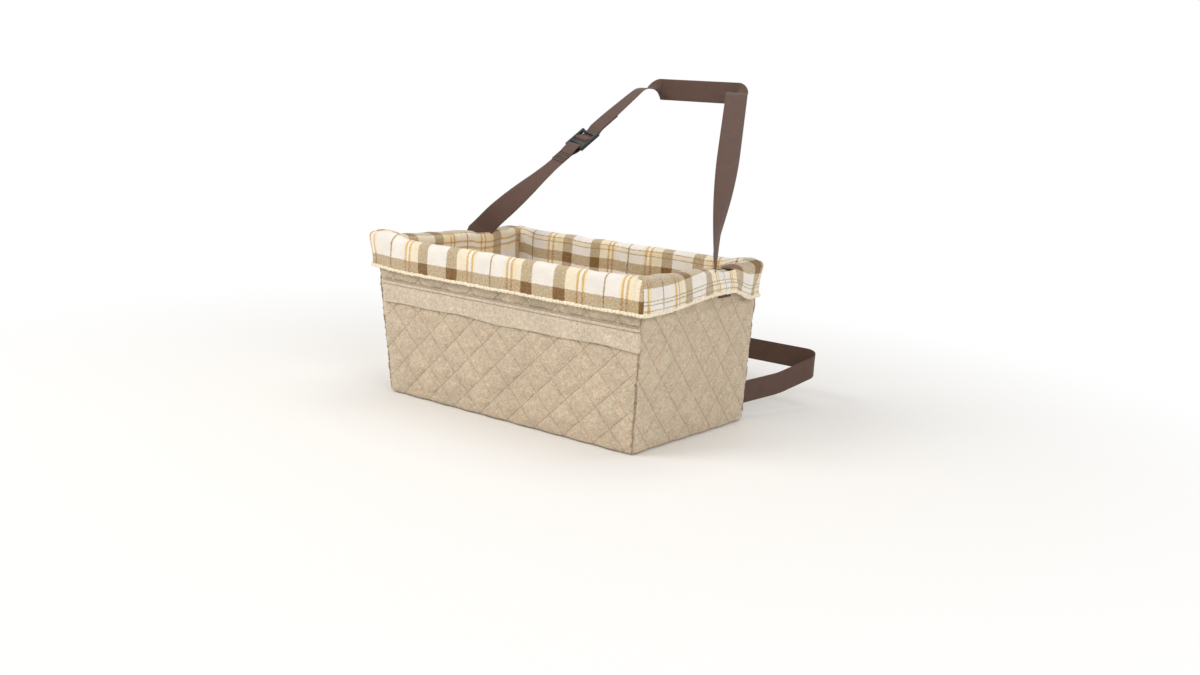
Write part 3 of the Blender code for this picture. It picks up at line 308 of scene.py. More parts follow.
def quilted_suede(name):
    """Polyester microsuede, knitted, brushed and quilted to wadding.

    The brushing leaves a soft matt surface with cloudy marks and a pale rim of fuzz, and each
    quilting seam sinks into a thin crease, painted darker as shade, with short stitches in darker thread.
    """
    tree = new_material(name, Roughness=0.92, Sheen_Weight=0.22, Sheen_Roughness=0.5)
    place = on_object(tree)
    base = suede_colour(tree, place, colours().suede)
    seams = axes_of(tree, on_cloth(tree, "quilt"))
    step = sizes().diamond_width * math.sin(QUARTER)
    height = None
    for across, along, depth in ((0, 1, 0.48), (1, 0, 0.62)):
        # Painted shade along each seam's crease, with the thread colour stronger on its stitches; the
        # painted shade is deeper along the second seams
        crease = near(tree, line_distance(tree, seams[across], step), 0.1, 0.95)
        run = maths(tree, "MULTIPLY", seams[along], step / (QUILT_STITCH * MM))
        base, height = stitch_and_shade(tree, base, height, crease, run, (0.55, 0.75, depth, 0.6 * depth), "#7E6A50")
    joined = near(tree, axes_of(tree, on_cloth(tree, "edge"))[0], 0.1, 1.1)
    base = mix_colour(tree, maths(tree, "MULTIPLY", joined, 0.5), base, linear("#75614A"))
    fuzz = nap(tree, place, 900.0, 0.45, 0.7)
    finish_shader(tree, Base_Color=base, Normal=bump(tree, height, 0.4, 0.6, fuzz))


def smooth_suede(name):
    """The same microsuede without quilting, with its nap brushed one way.

    It looks a shade greyer and smoother, and two rows of stitches run along the pocket band,
    each in a crease painted darker as shade.
    """
    tree = new_material(name, Roughness=0.9, Sheen_Weight=0.25, Sheen_Roughness=0.5)
    place = on_object(tree)
    base = suede_colour(tree, place, colours().pocket)
    along, down = axes_of(tree, on_cloth(tree))
    height = None
    for row in BAND_ROWS:
        # Painted shade along each row's crease, with the thread colour stronger on its stitches
        crease = near(tree, maths(tree, "ABSOLUTE", maths(tree, "SUBTRACT", down, row * MM)), 0.3, 1.4)
        run = maths(tree, "MULTIPLY", along, 1 / (BAND_STITCH * MM))
        base, height = stitch_and_shade(tree, base, height, crease, run, (0.5, 0.7, 0.4, 0.85), "#7D6C55")
    fuzz = nap(tree, place, 1000.0, 0.3, 0.5)
    finish_shader(tree, Base_Color=base, Normal=bump(tree, height, 0.7, 0.9, fuzz))


def plain_suede(name):
    """The covers' microsuede without quilting, under the box where it doesn't show a pattern."""
    tree = new_material(name, Roughness=0.92, Sheen_Weight=0.2, Sheen_Roughness=0.5)
    place = on_object(tree)
    finish_shader(tree, Base_Color=suede_colour(tree, place, colours().suede),
                  Normal=nap(tree, place, 900.0, 0.35, 0.6))


# Bands of the plaid, each from a start in millimetres to the next one's start
PLAID_REPEAT = 210.0
WARP_START = 162.5
WARP_BANDS = (
    (0.0, "taupe"), (20.0, "cream"), (60.0, "taupe"), (82.0, "yellow"), (101.5, "gold"), (105.3, "cream"),
    (111.0, "gold"), (115.0, "yellow"), (119.0, "cream"), (148.5, "brown"), (151.0, "cream"),
    (178.0, "yellow"), (181.0, "gold"), (184.6, "cream"), (189.4, "gold"), (193.0, "yellow"),
)
WEFT_BANDS = (
    (0.0, "taupe"), (17.5, "cream"), (64.0, "taupe"), (76.0, "pale"), (87.0, "gold"), (91.0, "cream"),
    (97.0, "gold"), (101.0, "pale"), (112.0, "cream"), (150.0, "line"), (152.0, "cream"), (186.0, "line"),
    (187.5, "pale"), (193.0, "line"), (194.5, "cream"),
)
CROSS_BANDS = (
    (0.0, "cream"), (9.0, "line"), (10.6, "cream"), (16.5, "line"), (18.1, "cream"), (22.0, "line"),
    (23.6, "cream"), (41.0, "taupe"), (62.0, "cream"), (100.0, "gold"), (103.0, "pale"), (110.0, "gold"),
    (113.0, "cream"), (150.0, "taupe"), (168.0, "cream"),
)
BAND_COLOURS = {"yellow": "#EBDCBD", "pale": "#EEDFC2", "brown": "#9A7538", "line": "#AE9A7C"}
# Bands across each plush piece and where they start, in millimetres
PLAIDS = {
    "plush_plaid_front": (WEFT_BANDS, -6.0),
    "plush_plaid_right": (CROSS_BANDS, 0.0),
    "plush_plaid_rear": (WEFT_BANDS, -94.0),
    "plush_plaid_left": (WEFT_BANDS, 10.0),
    "plush_plaid_floor": (WEFT_BANDS, 30.0),
    "plush_plaid_cushion": (WEFT_BANDS, 60.0),
}
RAGGED = 4.2 * MM


def band_ramp(tree, value, bands, offset):
    """Colour of one thread direction, from a distance along the other."""
    repeats = maths(tree, "MULTIPLY_ADD", value, 1 / (PLAID_REPEAT * MM), offset / PLAID_REPEAT)
    made = add_node(tree, "ShaderNodeValToRGB", {"Fac": maths(tree, "FRACT", repeats)})
    ramp = made.color_ramp
    ramp.interpolation = "CONSTANT"
    while len(ramp.elements) < len(bands):
        ramp.elements.new(1.0)
    named = {"cream": colours().cream, "taupe": colours().taupe, "gold": colours().gold, **BAND_COLOURS}
    for element, (start, name) in zip(ramp.elements, bands):
        element.position = start / PLAID_REPEAT
        element.color = (*linear(named[name])[:3], float(name == "taupe"))
    return made.outputs["Color"], made.outputs["Alpha"]


def plaid_fleece(name):
    """Plush fleece printed with a plaid: long soft polyester pile on a knitted back.

    The pile blurs the edges of the bands a little, catches light at grazing angles and shows
    small tufts, the print is worn in places, and it is dark brown where two taupe bands cross.
    """
    tree = new_material(name, Roughness=0.95, Sheen_Weight=0.3, Sheen_Roughness=0.6)
    cloth = on_cloth(tree)
    tufts = vector_maths(tree, "SUBTRACT", grain(tree, cloth, 700.0, 2.0, "Color"), (0.5, 0.5, 0.5))
    pushed = vector_maths(tree, "MULTIPLY", tufts, (RAGGED, RAGGED, 0.0))
    along, across = axes_of(tree, vector_maths(tree, "ADD", cloth, pushed))
    warp, warp_taupe = band_ramp(tree, along, WARP_BANDS, WARP_START)
    weft, weft_taupe = band_ramp(tree, across, *PLAIDS[name])
    cream = linear(colours().cream)
    printed = vector_maths(tree, "MULTIPLY", warp, vector_maths(tree, "DIVIDE", weft, cream[:3]))
    worn = ranged(tree, grain(tree, cloth, 360.0, 4.0), 0.38, 0.64, 0.0, 0.34)
    faded = mix_colour(tree, worn, printed, cream)
    crossing = mottle(tree, cloth, linear(colours().crossing)[:3], 0.45, 300.0, 4.0)
    base = mix_colour(tree, maths(tree, "MULTIPLY", warp_taupe, weft_taupe), faded, crossing)
    base = mottle(tree, cloth, base, 0.05, 40.0)
    base = mottle(tree, cloth, base, 0.09, 520.0, 4.0)
    soft = nap(tree, cloth, 160.0, 0.35, 1.6, 2.0)
    finish_shader(tree, Base_Color=base, Normal=nap(tree, cloth, 620.0, 0.5, 1.0, 4.0, soft))


def hem_fleece(name):
    """Cream plush, turned and overlocked, so that it lies in small puffs, with darker golden lines about
    every 6.2 mm along it.
    """
    tree = new_material(name, Roughness=0.95, Sheen_Weight=0.3, Sheen_Roughness=0.6)
    cloth = on_cloth(tree)
    base = mottle(tree, cloth, linear(colours().hem)[:3], 0.10, 90.0)
    base = mottle(tree, cloth, base, 0.12, 420.0)
    pitch = 6.2 * MM
    along = maths(tree, "MULTIPLY_ADD", axes_of(tree, cloth)[0], 1 / pitch, grain(tree, cloth, 70.0))
    # Darker golden lines at about the pitch of the hem's puffs
    thread = near(tree, line_distance(tree, along, pitch), 0.15, 0.9)
    base = mix_colour(tree, maths(tree, "MULTIPLY", thread, 0.45), base, linear("#B9975A"))
    finish_shader(tree, Base_Color=base, Normal=nap(tree, cloth, 600.0, 0.5, 0.9))


def webbing(name):
    """Woven polyester webbing, 38 mm wide, dyed brown.

    Ribs every 1.6 mm cross warp columns every 1.9 mm, staggered like a basket, two warp threads
    stand out beside each edge, and the yarn has a dull silky shine. The hollows of the weave are
    painted darker as shade.
    """
    tree = new_material(name, Roughness=0.7, Sheen_Weight=0.06, Sheen_Roughness=0.4)
    cloth = on_cloth(tree)
    across, along = axes_of(tree, cloth)
    column = maths(tree, "MULTIPLY", across, 1 / (1.9 * MM))
    stagger = maths(tree, "MULTIPLY", maths(tree, "FLOOR", column), 0.5)
    rib = maths(tree, "MULTIPLY_ADD", along, 1 / (3.2 * MM), stagger)
    weave = maths(tree, "MULTIPLY", maths(tree, "PINGPONG", rib, 0.5), maths(tree, "PINGPONG", column, 0.5))
    base = mottle(tree, cloth, linear(colours().webbing)[:3], 0.08, 60.0)
    # Painted shade in the hollows of the weave, lighter on its raised threads
    base = vector_maths(tree, "MULTIPLY", base, ranged(tree, weave, 0.0, 0.18, 0.72, 1.15))
    finish_shader(tree, Base_Color=base, Normal=bump(tree, weave, 0.6, 0.8))


def black_acetal(name):
    """Injection moulded acetal, black, spark-eroded matt with edges polished by handling."""
    tree = new_material(name, Roughness=0.42, IOR=1.48)
    place = on_object(tree)
    finish_shader(tree, Base_Color=mottle(tree, place, linear("#1B1A1A")[:3], 0.15, 160.0),
                  Roughness=ranged(tree, grain(tree, place, 120.0), 0.0, 1.0, 0.34, 0.52),
                  Normal=nap(tree, place, 2400.0, 0.25, 0.2))


def foam_board(name):
    """Cross-linked polyethylene foam board, skived, with fine closed cells and a satin skin."""
    tree = new_material(name, Roughness=0.8)
    place = on_object(tree)
    cells = add_node(tree, "ShaderNodeTexVoronoi", {"Vector": place, "Scale": 900.0})
    finish_shader(tree, Base_Color=mottle(tree, place, linear("#D9D6CF")[:3], 0.06, 70.0),
                  Normal=bump(tree, cells.outputs["Distance"], 0.3, 0.4))


# Colour of each lining, and the pitch of its threads in millimetres
LININGS = {
    "zip_tape_weave": ("#A8977D", 0.6), "casing_cotton": ("#D8CFBE", 0.8), "pocket_lining": ("#B5A68E", 0.7),
}


def woven_lining(name):
    """Plain woven polyester or cotton, as in casings and zip tapes, with its threads just visible."""
    code, thread = LININGS[name]
    tree = new_material(name, Roughness=0.8, Sheen_Weight=0.15)
    place = on_object(tree)
    inputs = {"Vector": place, "Scale": 0.314 / (thread * MM)}
    waves = [add_node(tree, "ShaderNodeTexWave", inputs, bands_direction=way).outputs["Fac"]
             for way in ("X", "Z")]
    finish_shader(tree, Base_Color=mottle(tree, place, linear(code)[:3], 0.06, 50.0),
                  Normal=bump(tree, maths(tree, "MULTIPLY", *waves), 0.4, 0.3))


def zip_coil(name):
    """Nylon coil of a size 5 zip: glossy rounded turns every 1.4 mm, sewn to the tape."""
    tree = new_material(name, Roughness=0.4, IOR=1.53)
    turn = maths(tree, "MULTIPLY", axes_of(tree, on_object(tree))[0], 1 / (1.4 * MM))
    away = maths(tree, "PINGPONG", turn, 0.5)
    shade = ranged(tree, away, 0.0, 0.5, 0.45, 1.1)
    finish_shader(tree, Base_Color=vector_maths(tree, "MULTIPLY", linear("#8E7A60")[:3], shade),
                  Normal=bump(tree, away, 0.8, 0.7))


# Colour, its drift and that one's scale, scale, strength and depth of the grain, and shader values
PLAIN_MATERIALS = {
    # Bonded nylon thread in dense tacks, a little darker and shinier than the webbing
    "nylon_thread": ("#33261F", (0.2, 900.0), (1500.0, 0.5, 0.3),
                     {"Base_Color": linear("#33261F"), "Roughness": 0.5, "Sheen_Weight": 0.1}),
    # Zinc plated round steel rod, cold drawn, with fine lines along it and a dull grey shine
    "drawn_steel": ("#B4B5B6", (0.08, 90.0), (3000.0, 0.2, 0.1), {"Metallic": 1.0, "Roughness": 0.35}),
    # Die-cast zinc with bright nickel plate, worn soft at its edges, as on zip sliders
    "plated_zinc": ("#B9B2A6", (0.10, 300.0), (1800.0, 0.2, 0.15), {"Metallic": 1.0, "Roughness": 0.28}),
}


def plain_material(name):
    """Material with one colour that drifts and one grain, from its row above."""
    code, drift, relief, shader = PLAIN_MATERIALS[name]
    tree = new_material(name, **shader)
    place = on_object(tree)
    finish_shader(tree, Base_Color=mottle(tree, place, linear(code)[:3], *drift),
                  Normal=nap(tree, place, *relief))


MATERIAL_MAKERS = {
    "quilted_microsuede": quilted_suede, "smooth_microsuede": smooth_suede, "plain_microsuede": plain_suede,
    "hem_fleece": hem_fleece, "polyester_webbing": webbing, "black_acetal": black_acetal,
    "foam_board": foam_board, "nylon_coil": zip_coil, **dict.fromkeys(PLAIDS, plaid_fleece),
    **dict.fromkeys(LININGS, woven_lining), **dict.fromkeys(PLAIN_MATERIALS, plain_material),
}


def find_material(name):
    """Material of a name, made the first time that it is asked for."""
    if name not in bpy.data.materials:
        MATERIAL_MAKERS[name](name)
    return bpy.data.materials[name]


# Meshes

def face_corners(mesh):
    """Which vertex each face corner of a mesh stands on."""
    corners = np.zeros(len(mesh.loops), int)
    mesh.loops.foreach_get("vertex_index", corners)
    return corners


def add_uv(obj, name, values):
    """Coordinates on flat cloth, one pair for each vertex."""
    layer = obj.data.uv_layers.new(name=name)
    layer.uv.foreach_set("vector", np.asarray(values)[face_corners(obj.data)].ravel())


def set_points(obj, points):
    """Put the vertices of an object where an array says."""
    obj.data.vertices.foreach_set("co", np.asarray(points, np.float32).ravel())
    obj.data.update()


def link_object(name, data):
    """Object of a mesh, lamp or camera, in the scene."""
    made = bpy.data.objects.new(name, data)
    bpy.context.scene.collection.objects.link(made)
    return made


def link_mesh(name, points, faces, uv=None, uv_name="cloth"):
    """Mesh object in the row frame, from points in the box frame."""
    mesh = bpy.data.meshes.new(name)
    mesh.from_pydata((np.asarray(points) + ORIGIN).tolist(), [], faces)
    made = link_object(name, mesh)
    if uv is not None:
        add_uv(made, uv_name, uv)
    mesh.update()
    return made


def reshape(obj, change, *settings):
    """Change a piece's mesh by a function on its bmesh."""
    mesh = bmesh.new()
    mesh.from_mesh(obj.data)
    change(mesh, *settings)
    mesh.to_mesh(obj.data)
    mesh.free()


def drop_loose(mesh):
    """Delete the points of a bmesh that no face uses."""
    bmesh.ops.delete(mesh, geom=[v for v in mesh.verts if not v.link_faces], context="VERTS")


def face_outwards(mesh):
    """Turn the faces of a bmesh's closed shells outwards."""
    bmesh.ops.recalc_face_normals(mesh, faces=mesh.faces)


def all_parts(mesh):
    """Points, edges and faces of a bmesh."""
    return [*mesh.verts, *mesh.edges, *mesh.faces]


def deselect():
    """Deselect everything."""
    for other in bpy.context.selected_objects:
        other.select_set(False)


def choose(obj):
    """Deselect everything, then select one object and make it active."""
    deselect()
    obj.select_set(True)
    bpy.context.view_layer.objects.active = obj


def apply_modifier(obj, kind, **settings):
    """Add a modifier, set it and apply it."""
    choose(obj)
    made = obj.modifiers.new(kind.lower(), kind)
    for key, value in settings.items():
        setattr(made, key, value)
    bpy.ops.object.modifier_apply(modifier=made.name)


def give_thickness(obj, thickness, offset):
    """Turn a sheet into a closed shell; an offset of -1 grows it inwards."""
    apply_modifier(obj, "SOLIDIFY", thickness=thickness, offset=offset, use_even_offset=False,
                   use_quality_normals=True)


SMOOTH_ANGLE = math.radians(50)


def finish_piece(obj, material, body, slot, *nodes):
    """Smooth a piece, give it its material and body, and let it stand for its frame nodes."""
    obj.data.materials.clear()
    obj.data.materials.append(find_material(material))
    choose(obj)
    bpy.ops.object.shade_smooth_by_angle(angle=SMOOTH_ANGLE)
    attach(obj, body)
    if nodes:
        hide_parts(*nodes)
    return obj


def capped(moved, limit):
    """Moves of points, none longer than a limit."""
    return moved * np.minimum(1, limit / np.maximum(np.linalg.norm(moved, axis=1), 1e-9))[:, None]


def simulate_puff(obj, pressure, frames, pins=None, shrink=0.0):
    """Blow a closed pad up with Blender's cloth, gravity off, and return where its points went."""
    work = link_object(obj.name + "_work", obj.data.copy())
    cloth = work.modifiers.new("cloth", "CLOTH")
    cloth.settings.use_pressure = True
    cloth.settings.uniform_pressure_force = pressure
    cloth.settings.effector_weights.gravity = 0.0
    cloth.settings.shrink_min = shrink
    cloth.settings.quality = 5
    cloth.point_cache.frame_start = 1
    cloth.point_cache.frame_end = frames
    if pins is not None:
        group = work.vertex_groups.new(name="pins")
        group.add(pins, 1.0, "REPLACE")
        cloth.settings.vertex_group_mass = "pins"
    scene = bpy.context.scene
    for number in range(1, frames + 1):
        scene.frame_set(number)
    shown = work.evaluated_get(bpy.context.evaluated_depsgraph_get())
    result = np.array([v.co for v in shown.data.vertices])
    scene.frame_set(1)
    bpy.data.objects.remove(work)
    return result


def grid_faces(rows, columns, skip=()):
    """Quads of a grid whose rows run upwards and columns to the right, seen from outside."""
    cells = ((i, j) for i in range(rows - 1) for j in range(columns - 1) if (i, j) not in skip)
    firsts = (i * columns + j for i, j in cells)
    return [(first, first + 1, first + columns + 1, first + columns) for first in firsts]


def tube_faces(rows, around, first=0, turned=False, capped=True):
    """Quads between the rings of a tube and a cap at each end, facing the other way where turned."""
    faces = []
    for start in range(first, first + (rows - 1) * around, around):
        for j in range(around):
            a, b = start + j, start + (j + 1) % around
            faces.append((a, b, b + around, a + around) if turned else (a, a + around, b + around, b))
    if capped:
        low = tuple(range(first, first + around))
        high = tuple(v + (rows - 1) * around for v in low)
        faces += [low[::-1], high] if turned else [low, high[::-1]]
    return faces


def wobble(x, y, seed, scale):
    """Smooth noise from -1 to 1 on arrays of distances, with about scale metres per feature."""
    flat = [noise.noise(Vector((a / scale, b / scale, seed))) for a, b in zip(np.ravel(x), np.ravel(y))]
    return np.array(flat).reshape(np.shape(x))


def rise(value, low, high):
    """Smooth step from 0 at low to 1 at high."""
    share = np.clip((np.asarray(value, float) - low) / (high - low), 0, 1)
    return share * share * (3 - 2 * share)


# Walls of the box

class Side:
    """One side wall: where a point lies that is s along it, u out from the rod's plane and z up."""

    def __init__(self, name, normal, reach, lean):
        self.name = name
        self.normal = np.array(normal, float)
        self.along = np.cross((0.0, 0.0, 1.0), self.normal)
        self.reach = reach
        self.lean = lean
        self.swell, self.swell_low, self.swell_foot = 0.0, 0.0, 0.0

    def offset(self, u, z, swollen=0.0):
        """Distance from the box's middle to a surface that stands u out from the rod's plane."""
        grown = rise(z, self.swell_low, STRAP_FOOT_Z) ** 0.8 * (1 - self.swell_foot) + self.swell_foot
        return self.reach - self.lean * (1 - np.minimum(z, ROD_Z) / ROD_Z) + u + self.swell * swollen * grown

    def bend(self, u):
        """Radius of the rounded corner."""
        return np.maximum(0.0048 + 0.25 * u, 0.0015)

    def half_length(self, sign, u, z, swollen=0.0):
        """Distance along the wall from its middle to a corner seam."""
        other = self.after if sign > 0 else self.before
        bend = self.bend(u)
        return other.offset(u, z, swollen) - bend + bend * QUARTER

    def ends(self, u, z, swollen=0.0):
        """Distances along the wall from its middle to its two corner seams."""
        return [self.half_length(sign, u, z, swollen) for sign in (-1, 1)]

    def spread(self, share, u, z, swollen=0.0):
        """Distances along the wall, from shares of the way to each corner seam."""
        low, high = self.ends(u, z, swollen)
        return np.where(share < 0, share * low, share * high)

    def seam_distance(self, s):
        """Distance along the wall to the nearer corner seam, at the rod."""
        low, high = self.ends(0.0, ROD_Z)
        return np.minimum(s + low, high - s)

    def drift(self, s, seed, scale):
        """Slow change along the wall, from -1 to 1, of its own on each side."""
        return wobble(s, 0 * s, seed + self.number, scale)

    def place(self, s, u, z, swollen=0.0):
        """Points in the box frame, which go round the corners towards the seams."""
        s, u, z, swollen = np.broadcast_arrays(*(np.asarray(v, float) for v in (s, u, z, swollen)))
        after, before = (other.offset(u, z, swollen) for other in (self.after, self.before))
        bend = self.bend(u)
        straight = np.where(s > 0, after, before) - bend
        over = np.maximum(np.abs(s) - straight, 0) / bend
        run = np.where(over > 0, straight + bend * np.sin(over), np.abs(s)) * np.sign(s)
        out = self.offset(u, z, swollen) - bend * (1 - np.cos(over))
        up = np.array((0.0, 0.0, 1.0))
        made = run[..., None] * self.along + out[..., None] * self.normal + z[..., None] * up
        # The right side stands straighter towards the rear
        splay = rise(made[..., 0], 0.10, 0.25) * rise(made[..., 1], -0.13, 0.15) * (1 - rise(z, 0.0, 0.20))
        made[..., 0] += REAR_SPLAY * splay * swollen
        return made


SIDES = {
    "front": Side("front", (0, -1, 0), ROD_Y, 0.028),
    "right": Side("right", (1, 0, 0), ROD_X, 0.006),
    "rear": Side("rear", (0, 1, 0), ROD_Y, 0.0),
    "left": Side("left", (-1, 0, 0), ROD_X, 0.006),
}
RING = tuple(SIDES)
for number, key in enumerate(RING):
    SIDES[key].number = number
    SIDES[key].after = SIDES[RING[(number + 1) % 4]]
    SIDES[key].before = SIDES[RING[number - 1]]

# Where the strap slots lie along their walls
SLOT_PLACES = {"left": -STRAP_Y, "right": STRAP_Y}


# Plush liner, cuff and hem

def column_values(side, held=0.10, middle=60, end=36):
    """Columns of a liner side: fixed distances near the middle, shares of the rest towards the seams."""
    fixed = list(np.linspace(-held, held, middle + 1))
    if side.name in SLOT_PLACES:
        for edge in (-SLOT_HALF_WIDTH, SLOT_HALF_WIDTH):
            target = SLOT_PLACES[side.name] + edge
            nearest = min(range(len(fixed)), key=lambda i: abs(fixed[i] - target))
            fixed[nearest] = target
    shares = 1 - (1 - np.linspace(0, 1, end + 1)[1:]) ** 1.3
    return held, -shares[::-1], np.array(fixed), shares


def spread_columns(side, columns, u, z):
    """Distance along the wall of every column in every row."""
    held, low, fixed, high = columns
    left, right = (end[:, None] for end in side.ends(u, z))
    middle = np.tile(fixed, (len(u), 1))
    return np.hstack([-held + (left - held) * low, middle, held + (right - held) * high])


# How far each corner of the cuff stands out at its hem and at its ridge, and how high its peak is
CORNERS = {
    ("left", "front"): (0.0120, 0.0150, 0.0105, 0.0028),
    ("front", "right"): (0.0160, 0.0120, 0.0020, 0.0012),
    ("right", "rear"): (0.0072, 0.0100, 0.0055, -0.0020),
    ("rear", "left"): (0.0160, 0.0110, 0.0030, 0.0000),
}


def corner_blend(side, s, column, middle, reach):
    """Value along a side that goes from one corner's value to the middle's and on to the other's."""
    low = CORNERS[(side.before.name, side.name)][column]
    high = CORNERS[(side.name, side.after.name)][column]
    left, right = side.ends(0.0, ROD_Z)
    made = middle + (low - middle) * (1 - rise(s + left, 0.0, reach))
    return made + (high - middle) * (1 - rise(right - s, 0.0, reach))


def hem_line(side, s):
    """How far out and how high the hem's top edge runs along a side."""
    flare = sizes().cuff_flare if side.name in ("front", "rear") else sizes().side_flare
    u = corner_blend(side, s, 0, flare, 0.05)
    u = u + 0.0016 * side.drift(s, 23.0, 0.045)
    z = sizes().hem_height + corner_blend(side, s, 3, 0.0, 0.06)
    z = z + 0.0013 * side.drift(s, 3.0, 0.06)
    if side.name == "right":
        lift = rise(s, -0.160, 0.040) * (1 - rise(s, 0.055, 0.125))
        z = z + sizes().hem_lift * lift
        u = u + 0.0025 * lift
    return u, z


# How deep the rim dips at a seam and under a strap
RIM_DIP = 0.0022


def rim_height(side, s):
    """Rise and fall of the rim along a side: low waves, peaked corners and the dip under a strap."""
    made = 0.0013 * side.drift(s, 11.0, 0.05)
    made = made + corner_blend(side, s, 2, 0.0, 0.045)
    made = made - RIM_DIP * np.exp(-(side.seam_distance(s) / 0.004) ** 2)
    if side.name in SLOT_PLACES:
        made = made - RIM_DIP * np.exp(-((s - SLOT_PLACES[side.name]) / 0.030) ** 4)
    return made


# Rows of the outer leg, over the rod and down the inside of a liner side
LEG_ROWS = 13
ARC_ROWS = 16
INNER_ROWS = 49
LEG = slice(0, LEG_ROWS)
ARC = slice(LEG_ROWS, LEG_ROWS + ARC_ROWS)
INNER = slice(LEG_ROWS + ARC_ROWS, None)
# Row near the top of the rod, which says where the columns stand there
TOP_ROW = 20
# Rough offset and height of the hem, where the columns are first spread
HEM_U = 0.012
HEM_Z = 0.21
# How far down the inside the rim's waves fade, and how far in and out a strap slot reaches
RIM_FADE = 0.030
SLOT_REACH = (-0.0050, 0.0075)
# Length of a puff of the hem, and how far its roll stands out and up
HEM_PUFF = 0.0068
HEM_ROLL = (0.0024, 0.0030)


def liner_stripes(side, s, v, z):
    """Distance along the print, which the right side's slanting cuff shifts."""
    if side.name != "right":
        return s
    lean = 0.42 * rise(s, -0.10, -0.03) * (ROD_Z - np.minimum(z, ROD_Z)) * (v < 0.075)
    return s + 0.118 + 0.058 * rise(s, -0.005, 0.085) + lean


def slot_cells(side, s, roll, arc):
    """Cells of a liner side that its strap slot leaves open."""
    if side.name not in SLOT_PLACES:
        return set()
    middles = np.abs((s[:-1] + s[1:]) / 2 - SLOT_PLACES[side.name])
    columns = [j for j, away in enumerate(middles) if away < SLOT_HALF_WIDTH]
    out = (roll * np.cos(arc[:-1]) + roll * np.cos(arc[1:])) / 2
    rows = [LEG_ROWS + i for i, u in enumerate(out) if SLOT_REACH[0] < u < SLOT_REACH[1]]
    return {(i, j) for i in rows for j in columns}


def liner_side(side):
    """Plush from the box's floor up the inside, over the rod and down outside to the hem."""
    roll = sizes().roll_radius
    leg = np.linspace(0, 1, LEG_ROWS)
    arc = np.linspace(0, math.pi, ARC_ROWS + 1)[1:]
    foot = LINER_FOOT + sizes().fleece_thickness
    inner = np.linspace(ROD_Z, foot, INNER_ROWS + 1)[1:]
    still, full = np.zeros(INNER_ROWS), np.ones(LEG_ROWS)
    first_u = np.concatenate([np.full(LEG_ROWS, HEM_U), roll * np.cos(arc), still - roll])
    first_z = np.concatenate([np.linspace(HEM_Z, ROD_Z, LEG_ROWS), ROD_Z + roll * np.sin(arc), inner])
    columns = column_values(side)
    s = spread_columns(side, columns, first_u, first_z)
    hem_u, hem_z = hem_line(side, s[0])
    rows, count = s.shape
    u = np.zeros((rows, count))
    z = np.zeros((rows, count))
    t = leg[:, None]
    ridge = corner_blend(side, s[TOP_ROW], 1, roll, 0.05)
    u[LEG] = hem_u + (ridge - hem_u) * t ** 1.8
    z[LEG] = hem_z + (ROD_Z - hem_z) * t
    turn = np.cos(arc)[:, None]
    u[ARC] = np.where(turn > 0, ridge * turn, roll * turn)
    z[ARC] = ROD_Z + (roll * np.sin(arc))[:, None]
    u[INNER] = -roll
    z[INNER] = inner[:, None]
    outward = np.concatenate([full, rise(np.cos(arc), -0.7, 0.8), still])[:, None]
    normal_u = np.concatenate([full, np.cos(arc), still - 1])[:, None]
    normal_z = np.concatenate([0.15 * full, np.sin(arc), still])[:, None]
    weight = np.concatenate([leg ** 0.7, np.ones(ARC_ROWS), np.exp(-(ROD_Z - inner) / RIM_FADE)])[:, None]
    z = z + rim_height(side, s) * weight
    v = np.vstack([np.zeros(count), np.cumsum(np.hypot(np.diff(u, axis=0), np.diff(z, axis=0)), axis=0)])
    seed = 5.0 + side.number
    moved = 0.0011 * wobble(s, v, seed, 0.040) + 0.0008 * wobble(s, v * 0.6, seed + 9, 0.015)
    moved += 0.0010 * np.exp(-v / 0.013) * np.sin(s / 0.0019 + 2.2 * wobble(s, 0 * s, seed + 4, 0.03))
    moved -= 0.0020 * np.exp(-(np.maximum(side.seam_distance(s), 0) / 0.0030) ** 2)
    moved[-1] = 0
    u = u + normal_u * moved
    z = z + normal_z * moved
    held = columns[0]
    for sign in (-1, 1):
        first = side.half_length(sign, first_u, first_z)[:, None]
        last = side.half_length(sign, u, z, outward)
        s = s + sign * np.maximum(sign * s - held, 0) / (first - held) * (last - first)
    points = side.place(s, u, z, outward)
    uv = np.stack([liner_stripes(side, s, v, z), v + 0.006], -1).reshape(-1, 2)
    faces = grid_faces(rows, count, slot_cells(side, s[TOP_ROW], roll, arc))
    made = link_mesh("plush_liner_" + side.name, points.reshape(-1, 3), faces, uv)
    reshape(made, drop_loose)
    give_thickness(made, sizes().fleece_thickness, 0.0)
    finish_piece(made, "plush_plaid_" + side.name, "box", "fleece", "liner_" + side.name)
    return made, (sum(side.ends(0.0, ROD_Z)), float(v[-1].mean()))


def hem_tube(side):
    """Turned and overlocked hem: a soft roll in small puffs below the cuff's edge."""
    count, around = 300, 12
    share = np.linspace(-1, 1, count)
    s = side.spread(share, HEM_U, HEM_Z)
    hem_u, hem_z = hem_line(side, s)
    puff = np.abs(np.sin(math.pi * (s / HEM_PUFF + 1.1 * side.drift(s, 31.0, 0.022)))) ** 0.6
    size = (0.76 + 0.26 * puff + 0.24 * side.drift(s, 32.0, 0.010))[:, None]
    angle = np.linspace(0, 2 * math.pi, around, endpoint=False)
    middle = hem_z - 0.0016 - 0.0010 * puff + 0.0010 * side.drift(s, 33.0, 0.014)
    u = hem_u[:, None] + 0.0004 + HEM_ROLL[0] * size * np.cos(angle)
    z = middle[:, None] + HEM_ROLL[1] * size * np.sin(angle)
    points = side.place(side.spread(share[:, None], u, z, 1.0), u, z, 1.0).reshape(-1, 3)
    uv = np.stack([np.repeat(s, around), np.tile(angle * 0.003, count)], -1)
    made = link_mesh("plush_hem_" + side.name, points, tube_faces(count, around), uv)
    return finish_piece(made, "hem_fleece", "box", "binding", "cuff_binding_" + side.name)


# Quilted covers

